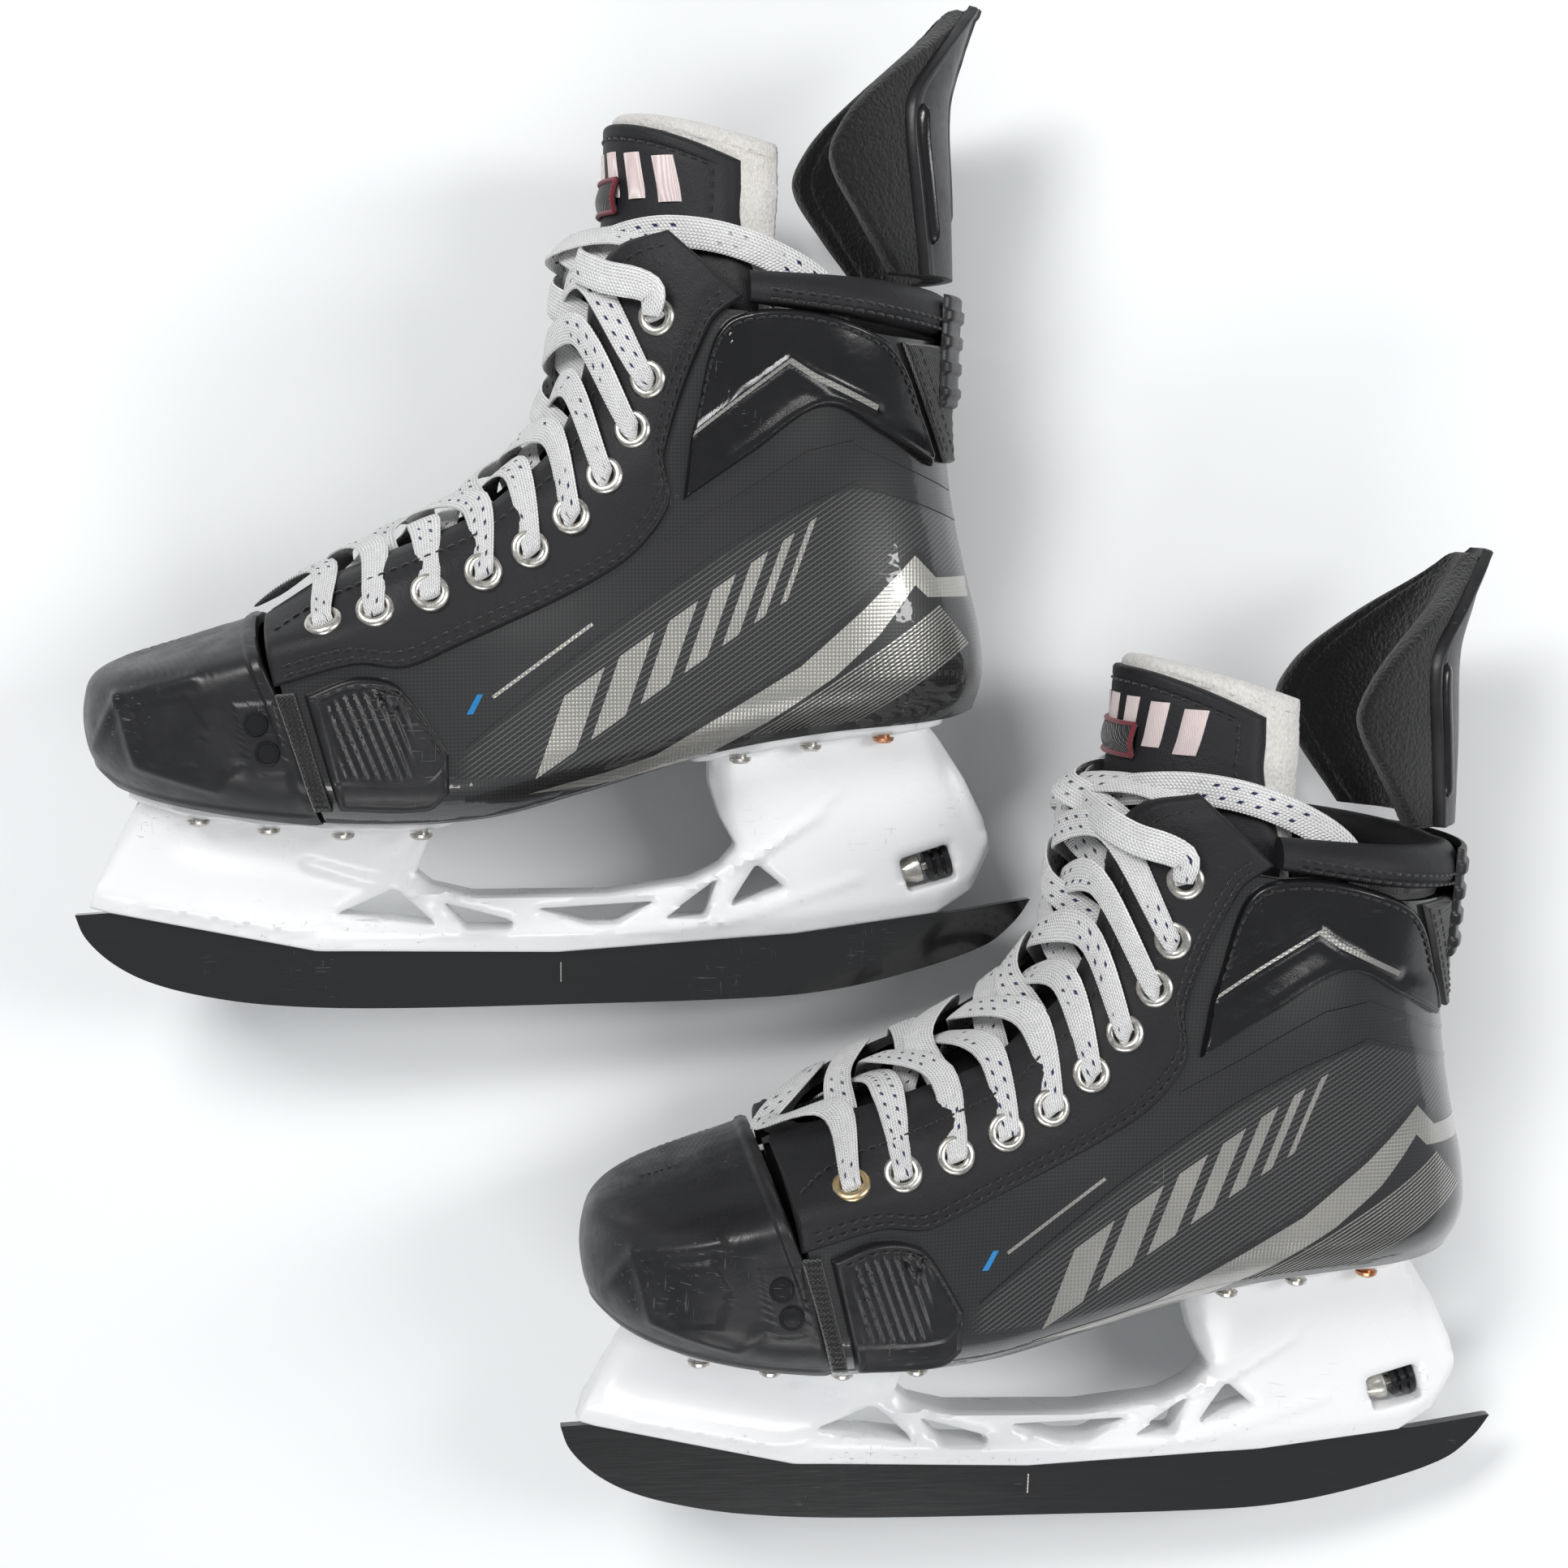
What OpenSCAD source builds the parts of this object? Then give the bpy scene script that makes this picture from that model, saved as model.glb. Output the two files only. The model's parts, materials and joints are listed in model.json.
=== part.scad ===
// A pair of ice hockey skates lying on their sides, toes to -X, one beside the other.
// Each skate is designed standing up in its own frame: X along the runner with the heel at +X,
// Y across with the little-toe side at -Y, Z up from the lowest point of the steel.
// left() and right() then lay it down.  Millimetres throughout.

/* [Runner] */
// Thickness of the exposed steel
runner_t = 3.0; // [2.9:0.05:3.1]
// Thickness of the tang that sits in the holder's slot
tang_t = 2.6; // [2.4:0.1:2.8]
// Height of the tang above the holder's lower edge
tang_h = 5.0; // [4:0.5:5.5]
// Gap between the tang and its slot on each side
slot_gap = 0.15; // [0.1:0.05:0.2]

/* [Boot] */
// Thickness of the hard shell
shell_t = 2.2; // [1.6:0.1:2.4]
// Thickness of the toe cap
cap_t = 2.5; // [2:0.1:3]
// Thickness of the sewn panels on the outside
panel_t = 1.4; // [1.2:0.1:1.8]
// Thickness of the padded lining
liner_t = 5.0; // [4:0.5:5.5]
// Thickness of the tongue's face
tongue_t = 2.2; // [1.8:0.1:2.6]
// Thickness of the tongue's felt
felt_t = 5.0; // [4:0.5:6]

/* [Laces] */
// Diameter of the hole in an eyelet
eyelet_hole = 5.6; // [5:0.1:6]
// Diameter of an eyelet's outer flange
eyelet_flange = 11.0; // [10:0.5:11.5]
// Radius of the lace drawn as a round cord
lace_r = 1.3; // [1:0.1:1.4]

/* [Lock] */
// Tilt of the lock screw's axis
lock_tilt = 17; // [16:1:18]
// Radius of the ribbed lock dial
dial_r = 4.7; // [4.2:0.1:4.9]
// Radius of the bolt's nose
nose_r = 3.0; // [2.6:0.1:3.1]

/* [Pose on the ground] */
// Tilt of both skates about their length, from flat on their side
roll = 7.5; // [6:0.5:9]
// Toe-up tilt of the left skate
pitch_left = 8.5; // [7:0.5:10]
// Toe-up tilt of the right skate
pitch_right = 7.6; // [6.6:0.5:9.6]
// Turn of the left skate in the ground plane
yaw_left = 0.8; // [-1.2:0.5:2.8]
// Turn of the right skate in the ground plane
yaw_right = -1.1; // [-3.1:0.5:0.9]

/* [Hidden] */
left_at = [-71.25, -70, 36.56];
right_at = [69.75, -225, 35.37];

// ---- colours -------------------------------------------------------------------------------
charcoal = [0.13, 0.13, 0.14];
carbon = [0.05, 0.05, 0.06];
satin_black = [0.09, 0.09, 0.10];
felt_white = [0.92, 0.90, 0.88];
lace_white = [0.97, 0.97, 0.97];
nickel = [0.75, 0.74, 0.70];
copper = [0.72, 0.42, 0.26];
steel_black = [0.04, 0.04, 0.05];
red_edge = [0.45, 0.06, 0.10];

// ---- small mathematics ---------------------------------------------------------------------
function clamp(t) = min(1, max(0, t));
function smooth(t) = let (u = clamp(t)) u * u * (3 - 2 * u);
function mix(a, b, t) = a + (b - a) * t;
function unit(v) = v / norm(v);
function sgn(t) = t < 0 ? -1 : 1;

// Which stretch of a table of [x, value] knots holds x
function stretch(k, x, i = 0) = i >= len(k) - 2 || x < k[i + 1][0] ? i : stretch(k, x, i + 1);
function knot_slope(k, i) =
    let (a = max(i - 1, 0), b = min(i + 1, len(k) - 1)) (k[b][1] - k[a][1]) / (k[b][0] - k[a][0]);
// A smooth curve through [x, value] knots, level beyond its ends
function spline(k, x) =
    x <= k[0][0] ? k[0][1] :
    x >= k[len(k) - 1][0] ? k[len(k) - 1][1] :
    let (i = stretch(k, x), h = k[i + 1][0] - k[i][0], t = (x - k[i][0]) / h,
         m0 = knot_slope(k, i), m1 = knot_slope(k, i + 1))
    (2 * t^3 - 3 * t^2 + 1) * k[i][1] + (t^3 - 2 * t^2 + t) * h * m0
    + (3 * t^2 - 2 * t^3) * k[i + 1][1] + (t^3 - t^2) * h * m1;

// A plane curve through points, prepared once, then read by its share of the length
function running(p, i = 0, at = 0) =
    i >= len(p) - 1 ? [at] : concat([at], running(p, i + 1, at + norm(p[i + 1] - p[i])));
function curve(p) =
    let (r = running(p), total = r[len(r) - 1])
    [[for (i = [0 : len(p) - 1]) [r[i] / total, p[i].x]],
     [for (i = [0 : len(p) - 1]) [r[i] / total, p[i].y]]];
function along(c, s) = [spline(c[0], s), spline(c[1], s)];

// ---- the boot's outer surface --------------------------------------------------------------
// Height of the sole along X
SOLE = [[-139, 74], [-126, 68], [-100, 64], [-60, 61], [-25, 62], [5, 69], [40, 79], [75, 85],
        [110, 88], [127, 92]];
// Where the front outline stands at each height: toe, instep, then the throat
FRONT = [[60, -122], [68, -130], [76, -137], [86, -139.5], [95, -139], [101, -136.5],
         [105, -130], [112, -108], [118, -90], [123, -81], [129, -73], [136, -60], [145, -42],
         [155, -26], [166, -13], [178, -6], [192, -3], [210, -1], [240, 2]];
// Where the heel's outline stands at each height
BACK = [[80, 118], [88, 123], [100, 126], [115, 124.5], [130, 120.5], [150, 116], [170, 113.5],
        [190, 113], [215, 114], [240, 115]];
// Half width of the boot along X
WIDTH = [[-139, 45], [-110, 49], [-80, 52], [-60, 52], [-25, 46.5], [5, 42], [40, 39.5],
         [80, 38.5], [127, 38]];
round_len = 46;      // how far the nose and the heel take to reach full width
round_pow = 2.2;     // how square they are
edge_h = 16;         // height over which the wall turns in to the sole
edge_in = 0.25;      // share of the width it loses there
ankle_bulge = 11.5;
ankle_at = [74, 200];

function sole(x) = spline(SOLE, x);
function front_slope(z) = (spline(FRONT, z + 0.5) - spline(FRONT, z - 0.5));
// d is the distance outside the surface, or inside it when negative
function front(z, d = 0) = spline(FRONT, z) - d * min(4, sqrt(1 + front_slope(z)^2));
function back(z, d = 0) = spline(BACK, z) + d;
function centre(x) = 6 * smooth((-20 - x) / 115);
function full_half(x, z, d) =
    (spline(WIDTH, x) + d
     + ankle_bulge * exp(-((x - ankle_at.x) / 40)^2 - ((z - ankle_at.y) / 34)^2)
     - 5 * smooth((z - 110) / 50) * smooth((40 - x) / 60))
    * (1 - edge_in * max(0, 1 - max(0, z - sole(x) + d) / edge_h)^round_pow);
function round_off(gap) = (1 - clamp(1 - gap / round_len)^round_pow)^(1 / round_pow);
function half(x, z, d = 0) =
    full_half(x, z, d) * round_off(x - front(z, d)) * round_off(back(z, d) - x);
// The point of the surface seen from one side at x and z
function surf(side, x, z, d = 0) = [x, centre(x) + side * half(x, z, d), z];
// The outward direction there
function out_dir(side, x, z) =
    unit([-(half(x + 1, z) - half(x - 1, z)) / 2, side, -(half(x, z + 1) - half(x, z - 1)) / 2]);
// The point a distance d straight out from the surface
function off(side, x, z, d) = surf(side, x, z) + d * out_dir(side, x, z);

// ---- closed solids from two grids of points ------------------------------------------------
function flat(rows) = [for (r = rows) for (p = r) p];
module slab(outer, inner, flip = false) {
    m = len(outer);
    n = len(outer[0]);
    o = m * n;
    a = [for (i = [0 : m - 2]) for (j = [0 : n - 2]) each [
        [i * n + j, i * n + j + 1, (i + 1) * n + j + 1],
        [i * n + j, (i + 1) * n + j + 1, (i + 1) * n + j]]];
    b = [for (f = a) [f[2] + o, f[1] + o, f[0] + o]];
    ring = concat([for (j = [0 : n - 2]) j], [for (i = [0 : m - 2]) i * n + n - 1],
                  [for (j = [n - 1 : -1 : 1]) (m - 1) * n + j], [for (i = [m - 1 : -1 : 1]) i * n]);
    c = [for (k = [0 : len(ring) - 1]) let (p = ring[k], q = ring[(k + 1) % len(ring)])
         each [[p, p + o, q + o], [p, q + o, q]]];
    faces = concat(a, b, c);
    polyhedron(concat(flat(outer), flat(inner)),
               flip ? faces : [for (f = faces) [f[2], f[1], f[0]]]);
}

// A sewn panel between two outline curves, on one side of the boot
module panel(side, low, high, n, m, d0, d1) {
    function grid(d) = [for (i = [0 : m]) [for (j = [0 : n])
        let (p = mix(along(low, j / n), along(high, j / n), i / m)) surf(side, p.x, p.y, d)]];
    slab(grid(d1), grid(d0), side > 0);
}

// A wall that wraps the heel.  u runs from one front edge to the other, through the back.
function wrap_point(u, z, edge_x, d) =
    let (x = mix(back(z, d), edge_x, abs(u)^1.9)) surf(sgn(u), x, z, d);
module wrap(n, m, z_low, z_high, edge, d0, d1) {
    function grid(d) = [for (i = [0 : m]) [for (j = [-n : n])
        let (u = j / n, z = mix(z_low(abs(u)), z_high(abs(u)), i / m))
        wrap_point(u, z, edge(z), d)]];
    slab(grid(d1), grid(d0));
}

// ---- outlines on the boot's side, as [x, z] ------------------------------------------------
// Edge of the throat, toe to top
THROAT = curve([[-86, 119], [-70, 129], [-54, 136], [-28, 147], [-17, 155], [-5, 166],
                [1.6, 179], [5, 192], [6.6, 210], [13, 222], [27, 226.5]]);
// Lower seam of the eyestay, toe to top
EYESTAY_SEAM = curve([[-82, 101], [-60, 107], [-47, 106], [-36, 110], [12, 133], [27, 150],
                      [26, 166], [38, 200], [47, 208]]);
// Upper edge of the hard shell, toe to heel
SHELL_TOP = curve([[-81, 104], [-66, 110], [-37, 119.5], [-9, 132], [5, 142], [15, 154],
                   [23.5, 169], [29, 186], [33, 203], [44, 204.5], [84, 198.5], [113, 197]]);
OVERLAY_LOW = curve([[-65, 66], [-41, 65.5], [-35, 71]]);
OVERLAY_HIGH = curve([[-74, 99], [-60, 104], [-48, 101], [-35, 82]]);
BAND_FRONT = curve([[-72, 66], [-76, 80], [-82, 99]]);
BAND_REAR = curve([[-67, 66], [-71, 80], [-76.5, 99.5]]);
ANKLE_LOW = curve([[31, 152], [50, 165], [70, 178], [88, 170.5], [105, 162]]);
ANKLE_HIGH = curve([[33, 170], [44, 202.5], [87, 197], [106, 165]]);
// Eyelets from the toe to the top
EYELETS = [[-67.7, 116.9], [-54, 121], [-39.7, 126.1], [-25.3, 131.9], [-12.2, 138.1],
           [-0.3, 147.1], [9.6, 158.2], [17.8, 171.3], [22.2, 185.4], [24.7, 202.4]];

panel_gap = 0.9;       // a sewn panel's inside, out from the surface
panel_d = [panel_gap, panel_gap + panel_t];
liner_gap = 0.8;
liner_d = [-liner_gap - shell_t - liner_t, -liner_gap - shell_t];

// ---- hard shell ----------------------------------------------------------------------------
function shell_point(k, n, t, d) =
    let (s = sin(90 * (1 - abs(k) / n)),
         bx = mix(-69, 119, s),
         p = mix([bx, sole(bx)], along(SHELL_TOP, s), t),
         line_x = mix(119, 113, t))
    surf(sgn(k), p.x + s^4 * (back(p.y, d) - line_x), p.y, d);
module shell_wall(n, m, t0, t1, d0, d1) {
    function grid(d) = [for (i = [0 : m]) [for (k = [-n : n])
        shell_point(k, n, mix(t0, t1, i / m), d)]];
    slab(grid(d1), grid(d0));
}
module shell() color(carbon) shell_wall(15, 6, 0, 1, -shell_t, 0);
module liner() color(charcoal) shell_wall(15, 5, 1 / 6, 1, liner_d[0], liner_d[1]);

// ---- sole ----------------------------------------------------------------------------------
// A plate that follows the sole: z from lift0 to lift1 above it
module sole_plate(x0, x1, n, lift0, lift1, half_at) {
    function row(lift) = [for (i = [0 : n]) let (x = mix(x0, x1, i / n))
        [[x, centre(x) - half_at(x), sole(x) + lift], [x, centre(x) + half_at(x), sole(x) + lift]]];
    slab(row(lift1), row(lift0));
}
module outsole() color(carbon)
    difference() {
        sole_plate(-125, 118, 14, 0.1, 2.6,
                   function(x) half(x, sole(x) + 0.2, -shell_t - 0.6));
        rivet_shanks(0.05);
    }
module footbed() color(charcoal)
    sole_plate(-116, 108, 12, 4, 7, function(x) half(x, sole(x) + 5, liner_d[0] - 1));

// ---- toe cap -------------------------------------------------------------------------------
CAP_RIDGE = curve([[-131, 69.5], [-137, 76.5], [-139.5, 86], [-139, 95], [-136.5, 101],
                   [-130, 105], [-108, 112], [-89, 118]]);
CAP_REAR = curve([[-70, 63.5], [-74, 78], [-79, 93]]);
function ridge_out(v) = let (t = unit(along(CAP_RIDGE, v + 0.01) - along(CAP_RIDGE, v - 0.01)))
    [-t.y, t.x];
function cap_point(u, v, d) =
    let (r = along(CAP_RIDGE, v) + d * ridge_out(clamp(v - 0.01) + 0.005),
         q = along(CAP_REAR, v),
         p = mix(r, q, abs(u)^1.9),
         z = p.y + (1 - v)^3 * abs(u) * (sole(p.x) - mix(r.y, q.y, abs(u)^1.9)))
    u == 0 ? [r.x, centre(r.x), r.y] : surf(sgn(u), p.x, z, d);
module toe_cap() {
    n = 8;
    m = 14;
    function grid(d) = [for (i = [0 : m]) [for (j = [-n : n]) cap_point(j / n, i / m, d)]];
    color(satin_black) slab(grid(0), grid(-cap_t), true);
}
module on_surface(side, x, z, d) {
    v = out_dir(side, x, z);
    translate(off(side, x, z, d)) rotate([0, acos(v.z), atan2(v.y, v.x)]) children();
}
PLUGS = [[-87, 91], [-84, 83]];
module toe_plugs() color(satin_black)
    for (side = [-1, 1], p = PLUGS)
        on_surface(side, p.x, p.y, 0.3) cylinder(r = 3.4, h = 0.8, $fn = 32);

// ---- sewn panels ---------------------------------------------------------------------------
module toe_band() color(charcoal)
    for (side = [-1, 1]) panel(side, BAND_FRONT, BAND_REAR, 4, 1, panel_d[0], panel_d[1]);
module side_overlays() color(satin_black)
    for (side = [-1, 1]) panel(side, OVERLAY_LOW, OVERLAY_HIGH, 8, 5, panel_d[0], panel_d[1]);
module ankle_panels() color(satin_black)
    for (side = [-1, 1]) panel(side, ANKLE_LOW, ANKLE_HIGH, 8, 3, panel_d[0], panel_d[1]);
module heel_panel() color(charcoal)
    wrap(7, 4, function(u) 163, function(u) 196.5,
         function(z) mix(110, 92, (z - 163) / 35), panel_d[0], panel_d[1]);
module eyestays() color(charcoal)
    for (side = [-1, 1])
        difference() {
            panel(side, EYESTAY_SEAM, THROAT, 16, 3, panel_d[0], panel_d[1]);
            for (e = EYELETS)
                on_surface(side, e.x, e.y, -2) cylinder(d = barrel_d + 0.3, h = 6, $fn = 24);
        }

// ---- eyelets -------------------------------------------------------------------------------
barrel_d = eyelet_hole + 1.0;
rim_at = panel_d[1] + 0.7;
rim_t = 0.7;
module eyelet() rotate_extrude($fn = 32)
    polygon([[eyelet_hole / 2, -0.6], [barrel_d / 2, -0.6], [barrel_d / 2, rim_at],
             [eyelet_flange / 2, rim_at], [eyelet_flange / 2 - 0.6, rim_at + rim_t],
             [eyelet_hole / 2 + 0.3, rim_at + rim_t], [eyelet_hole / 2, rim_at]]);
module eyelets() color(nickel)
    for (side = [-1, 1], e = EYELETS) on_surface(side, e.x, e.y, 0) eyelet();

// ---- collar, around the ankle --------------------------------------------------------------
module collar() {
    n = 9;
    m = 4;
    function grid(d, lean) = [for (i = [0 : m]) [for (j = [-n : n])
        let (u = abs(j / n), t = i / m, z = mix(198.5 + 8 * u * u, 210.5 + 5 * u, t))
        wrap_point(j / n, z, 49, d + lean * t^3)]];
    color(charcoal) slab(grid(1.4, -2.2), grid(-7, 1.8));
}

// ---- tongue --------------------------------------------------------------------------------
tongue_split = 232;
tongue_top = 262;
function tongue_d(z) = mix(-9.4, -10, smooth((z - 170) / 50));
function tongue_point(u, z, d) =
    let (dd = tongue_d(z) + d, reach = mix(24, 42, smooth((z - 120) / 60)),
         f = front(z, dd))
    surf(sgn(u), f + reach * abs(u)^1.9, z, dd);
module tongue_leaf(z0, z1, m, d0, d1, droop, pull) {
    n = 6;
    function grid(d) = [for (i = [0 : m]) [for (j = [-n : n])
        let (u = j / n) tongue_point(u * pull, mix(z0, z1 - droop * abs(u)^2.5, i / m), d)]];
    slab(grid(d1), grid(d0), true);
}
felt_d = [-0.6 - tongue_t - felt_t, -0.6 - tongue_t];
module tongue_lower() color(charcoal)
    tongue_leaf(121, tongue_split - 0.5, 11, -tongue_t, 0, 0, 1);
module tongue_felt_lower() color(felt_white)
    tongue_leaf(121, tongue_split - 0.5, 11, felt_d[0], felt_d[1], 0, 1);
module tongue_upper() color(charcoal)
    tongue_leaf(tongue_split, tongue_top - 3, 4, -tongue_t, 0, 12, 0.94);
module tongue_felt_upper() color(felt_white)
    tongue_leaf(tongue_split, tongue_top, 4, felt_d[0], felt_d[1], 10, 1);
// A small woven loop on the tongue's face that keeps the lace in the middle
module lace_loop() {
    x = tongue_point(0, 238, 0).x;
    color(red_edge) translate([x - 0.6, 0, 234]) side_cut([[0, 0], [0, 9], [-2.6, 8], [-3.4, 4.5],
                                                           [-2.6, 1]], 18);
}

// ---- lace ----------------------------------------------------------------------------------
// A round cord swept along points; each ring stands square to the way ahead and behind
module cord(route, r, sides = 8) {
    n = len(route);
    function heading(i) = unit(route[min(i + 1, n - 1)] - route[max(i - 1, 0)]);
    function across(i) = i == 0
        ? unit(cross(heading(0), [0.31, 0.52, 0.79]))
        : let (a = across(i - 1), h = heading(i)) unit(a - (a * h) * h);
    frames = [for (i = 0, a = across(0); i < n;
                   i = i + 1, a = i < n ? let (h = heading(i)) unit(a - (a * h) * h) : a)
              [a, cross(heading(i), a)]];
    points = [for (i = [0 : n - 1]) for (k = [0 : sides - 1]) let (g = 360 * k / sides)
        route[i] + r * (cos(g) * frames[i][0] + sin(g) * frames[i][1])];
    walls = [for (i = [0 : n - 2]) for (k = [0 : sides - 1])
        let (a = i * sides + k, b = i * sides + (k + 1) % sides) each
        [[a, b + sides, b], [a, a + sides, b + sides]]];
    polyhedron(points, concat([[for (k = [0 : sides - 1]) k]], walls,
                              [[for (k = [sides - 1 : -1 : 0]) (n - 1) * sides + k]]));
}
over = 6.2;      // height of the lace over the eyestay
under = -4.4;    // and of the lace under it
top = len(EYELETS) - 1;
// The point of the throat's edge nearest to an eyelet
function edge_share(i) = (i + 1.35) / (len(EYELETS) + 0.9);
function at_edge(side, i, d) = let (p = along(THROAT, edge_share(i))) off(side, p.x, p.y, d);
function at_eyelet(side, i, d) = off(side, EYELETS[i].x, EYELETS[i].y, d);
// Middle of the throat between eyelets i and i + 1
function middle(i, d) =
    let (p = along(THROAT, (edge_share(i) + edge_share(i + 1)) / 2), z = p.y + 3) [front(z, d), 0, z];
// From inside eyelet i on one side, across, into eyelet i + 1 on the other from outside
function crossing(side, i, d) = i == top - 1
    ? [at_eyelet(side, i, under), at_edge(side, i, under - 0.6), middle(i, d),
       at_edge(-side, i + 1, under - 0.6), at_eyelet(-side, i + 1, under), at_eyelet(-side, i + 1, over)]
    : [at_eyelet(side, i, under), at_edge(side, i, under - 0.6), middle(i, d),
       at_edge(-side, i + 1, over), at_eyelet(-side, i + 1, over)];
function lacing(first, d) = [for (i = [0 : top - 1])
    each crossing(i % 2 == 0 ? first : -first, i, d)];
function reversed(v) = [for (i = [len(v) - 1 : -1 : 0]) v[i]];
function lace_route() =
    let (bar = [at_edge(-1, 0, over - 0.5), [front(122.5, 2.5), 1, 122.5], at_edge(1, 0, over - 0.5)])
    concat(reversed(lacing(-1, -1.6)), [at_eyelet(-1, 0, over)], bar, [at_eyelet(1, 0, over)],
           lacing(1, 2.4));
module lace() color(lace_white) cord(lace_route(), lace_r);

// Each free end leaves the top eyelet, crosses the tongue's face and tucks in on the far side
// between tongue and collar, where it turns once.  The two ends cross at different heights.
END_OVER = [[25, 209, 7.5], [14, 213, 7.5], [7, 217, 5.5]];
END_INSIDE = [[10, 226, -7], [24, 227.5, -7.4], [42, 226, -8], [58, 221, -9], [70, 214, -11],
              [77, 204, -13.5], [80, 190, -14], [80, 175, -13], [78, 160, -12], [72, 148, -12],
              [62, 144, -12], [56, 152, -12], [56, 166, -13], [60, 180, -14], [64, 190, -14]];
function face_x(z) = tongue_point(0, z, 0).x;
function end_route(side, lift) = concat(
    [at_eyelet(side, top, over)],
    [for (p = END_OVER) off(side, p.x, p.y, p.z)],
    [[face_x(221) - lift, 0, 221]],
    [for (p = END_INSIDE) off(-side, p.x, p.y, p.z)]);
aglet_r = 1.7;
aglet_l = 20;
module lace_ends() color(lace_white)
    for (k = [0, 1]) {
        side = k == 0 ? -1 : 1;
        r = end_route(side, k == 0 ? 2.2 : 7);
        n = len(r);
        cord(r, lace_r);
        way = unit(r[n - 1] - r[n - 2]);
        cord([r[n - 1], r[n - 1] + aglet_l * way], aglet_r);
    }

// ---- tendon guard --------------------------------------------------------------------------
// Where its spine stands, its half width and how far round it reaches, by height
SPINE = [[182, 113.5], [216, 113], [240, 112], [266, 111], [280, 114.5], [296, 120]];
GUARD_HALF = [[215, 36], [250, 37.5], [275, 34], [290, 26], [296, 22]];
SHELL_REACH = [[216, 46], [262, 52], [278, 40], [290, 24], [296, 12]];
PAD_REACH = [[216, 58], [232, 76], [247, 88], [259, 80], [271, 63], [280, 48], [290, 26],
             [295, 14]];
guard_foot = 216.5;
guard_top = 296;
guard_deep = 40;
function guard_point(g, z, d) =
    [spline(SPINE, z) + d - (guard_deep + d) * (1 - cos(g)), (spline(GUARD_HALF, z) + d) * sin(g), z];
module guard_leaf(reach, top_z, d0, d1) {
    n = 6;
    m = 10;
    function grid(d) = [for (i = [0 : m]) let (z = mix(guard_foot, top_z, i / m))
        [for (j = [-n : n]) guard_point(j / n * spline(reach, z), z, d)]];
    slab(grid(d1), grid(d0));
}
module tendon_guard() color(satin_black) guard_leaf(SHELL_REACH, guard_top, 0, 2.4);
module tendon_pad() color(charcoal) guard_leaf(PAD_REACH, guard_top - 1.5, -6.2, -0.2);
// The ribbed root that the guard flexes from, fixed over the heel panel
module guard_base() {
    n = 5;
    m = 13;
    rib = 0.9;
    function grid(d, wave) = [for (i = [0 : m]) let (z = mix(179, 211, i / m))
        [for (j = [-n : n]) let (u = j / n)
            surf(sgn(u), back(z, d) - 9 * u * u, z, d + (wave && i % 3 == 1 ? rib : 0))]];
    color(satin_black) slab(grid(panel_d[1] + 1.6, true), grid(panel_d[1] + 0.2, false));
}

// ---- the pair of holders, one shape --------------------------------------------------------
KEEL_LOW = [[-139, 33], [-134, 31.5], [-74, 18.5], [-3, 16.5], [69, 20.5], [113, 26], [124, 33],
            [129.5, 45]];
KEEL_TOP = [[126, 52], [73, 52], [55, 45], [37, 37.5], [12, 34.5], [-28, 35], [-45, 39],
            [-57, 41], [-76, 47], [-130, 47], [-137, 38]];
WINDOWS = [[[-68, 30], [-51, 37], [-39, 26]], [[-37, 32.5], [-16, 26.5], [-17, 24.4], [-30, 24.4]],
           [[-9, 30], [26, 31.5], [15, 25], [6, 25]], [[45, 38], [29, 26.3], [42, 26.3]],
           [[57, 42.5], [66, 35], [49, 29.5]]];
LOCK_WINDOW = [[101, 43], [116, 47.5], [119, 37], [104, 33]];
keel_w = 13;
function level(p, x, i = 0) = i >= len(p) - 2 || x < p[i + 1].x
    ? mix(p[i].y, p[i + 1].y, clamp((x - p[i].x) / (p[i + 1].x - p[i].x))) : level(p, x, i + 1);
function keel(x) = level(KEEL_LOW, x);
module side_cut(points, w) rotate([90, 0, 0]) translate([0, 0, -w / 2]) linear_extrude(w)
    polygon(points);

function flange_half(x) = 0.84 * half(x, sole(x) + 0.5, 0);
flange_t = 3.2;
flange_gap = 0.2;      // between the flange and the sole above it
// A tower that spreads from the keel up to a flange that follows the sole
module tower(low_x, high_x, flange_x, spread) {
    n = 20;
    m = 5;
    function lobe(v) = sgn(v) * sqrt(abs(v));
    function at_x(ends, g) = (ends[0] + ends[1]) / 2 + lobe(cos(g)) * (ends[1] - ends[0]) / 2;
    function tower_ring(t) = [for (k = [0 : n - 1]) let (g = 360 * k / n,
        ends = mix(low_x, high_x, t), x = at_x(ends, g),
        w = mix(keel_w / 2 + 0.3, spread * flange_half((ends[0] + ends[1]) / 2), t^2.4))
        [x, centre(x) * t^2 + lobe(sin(g)) * w,
         mix(keel(x) + 6.5, sole(x) - flange_gap - flange_t, t)]];
    function flange_ring(lift) = [for (k = [0 : n - 1]) let (g = 360 * k / n, x = at_x(flange_x, g))
        [x, centre(x) + lobe(sin(g)) * flange_half(x), sole(x) - lift]];
    rings = concat([for (i = [0 : m]) tower_ring(i / m)],
                   [flange_ring(flange_gap + flange_t), flange_ring(flange_gap)]);
    last = len(rings) - 1;
    walls = [for (i = [0 : last - 1]) for (k = [0 : n - 1])
        let (a = i * n + k, b = i * n + (k + 1) % n) each [[a, b + n, b], [a, a + n, b + n]]];
    strips = [for (k = [0 : n / 2 - 1]) let (p = k, q = k + 1, r = n - k - 1, s = (n - k) % n)
        each [if (r != q) [p, q, r], if (s != p) [p, r, s]]];
    caps = [for (f = strips) each [f, [f[2] + last * n, f[1] + last * n, f[0] + last * n]]];
    polyhedron(flat(rings), concat(walls, caps));
}

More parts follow.
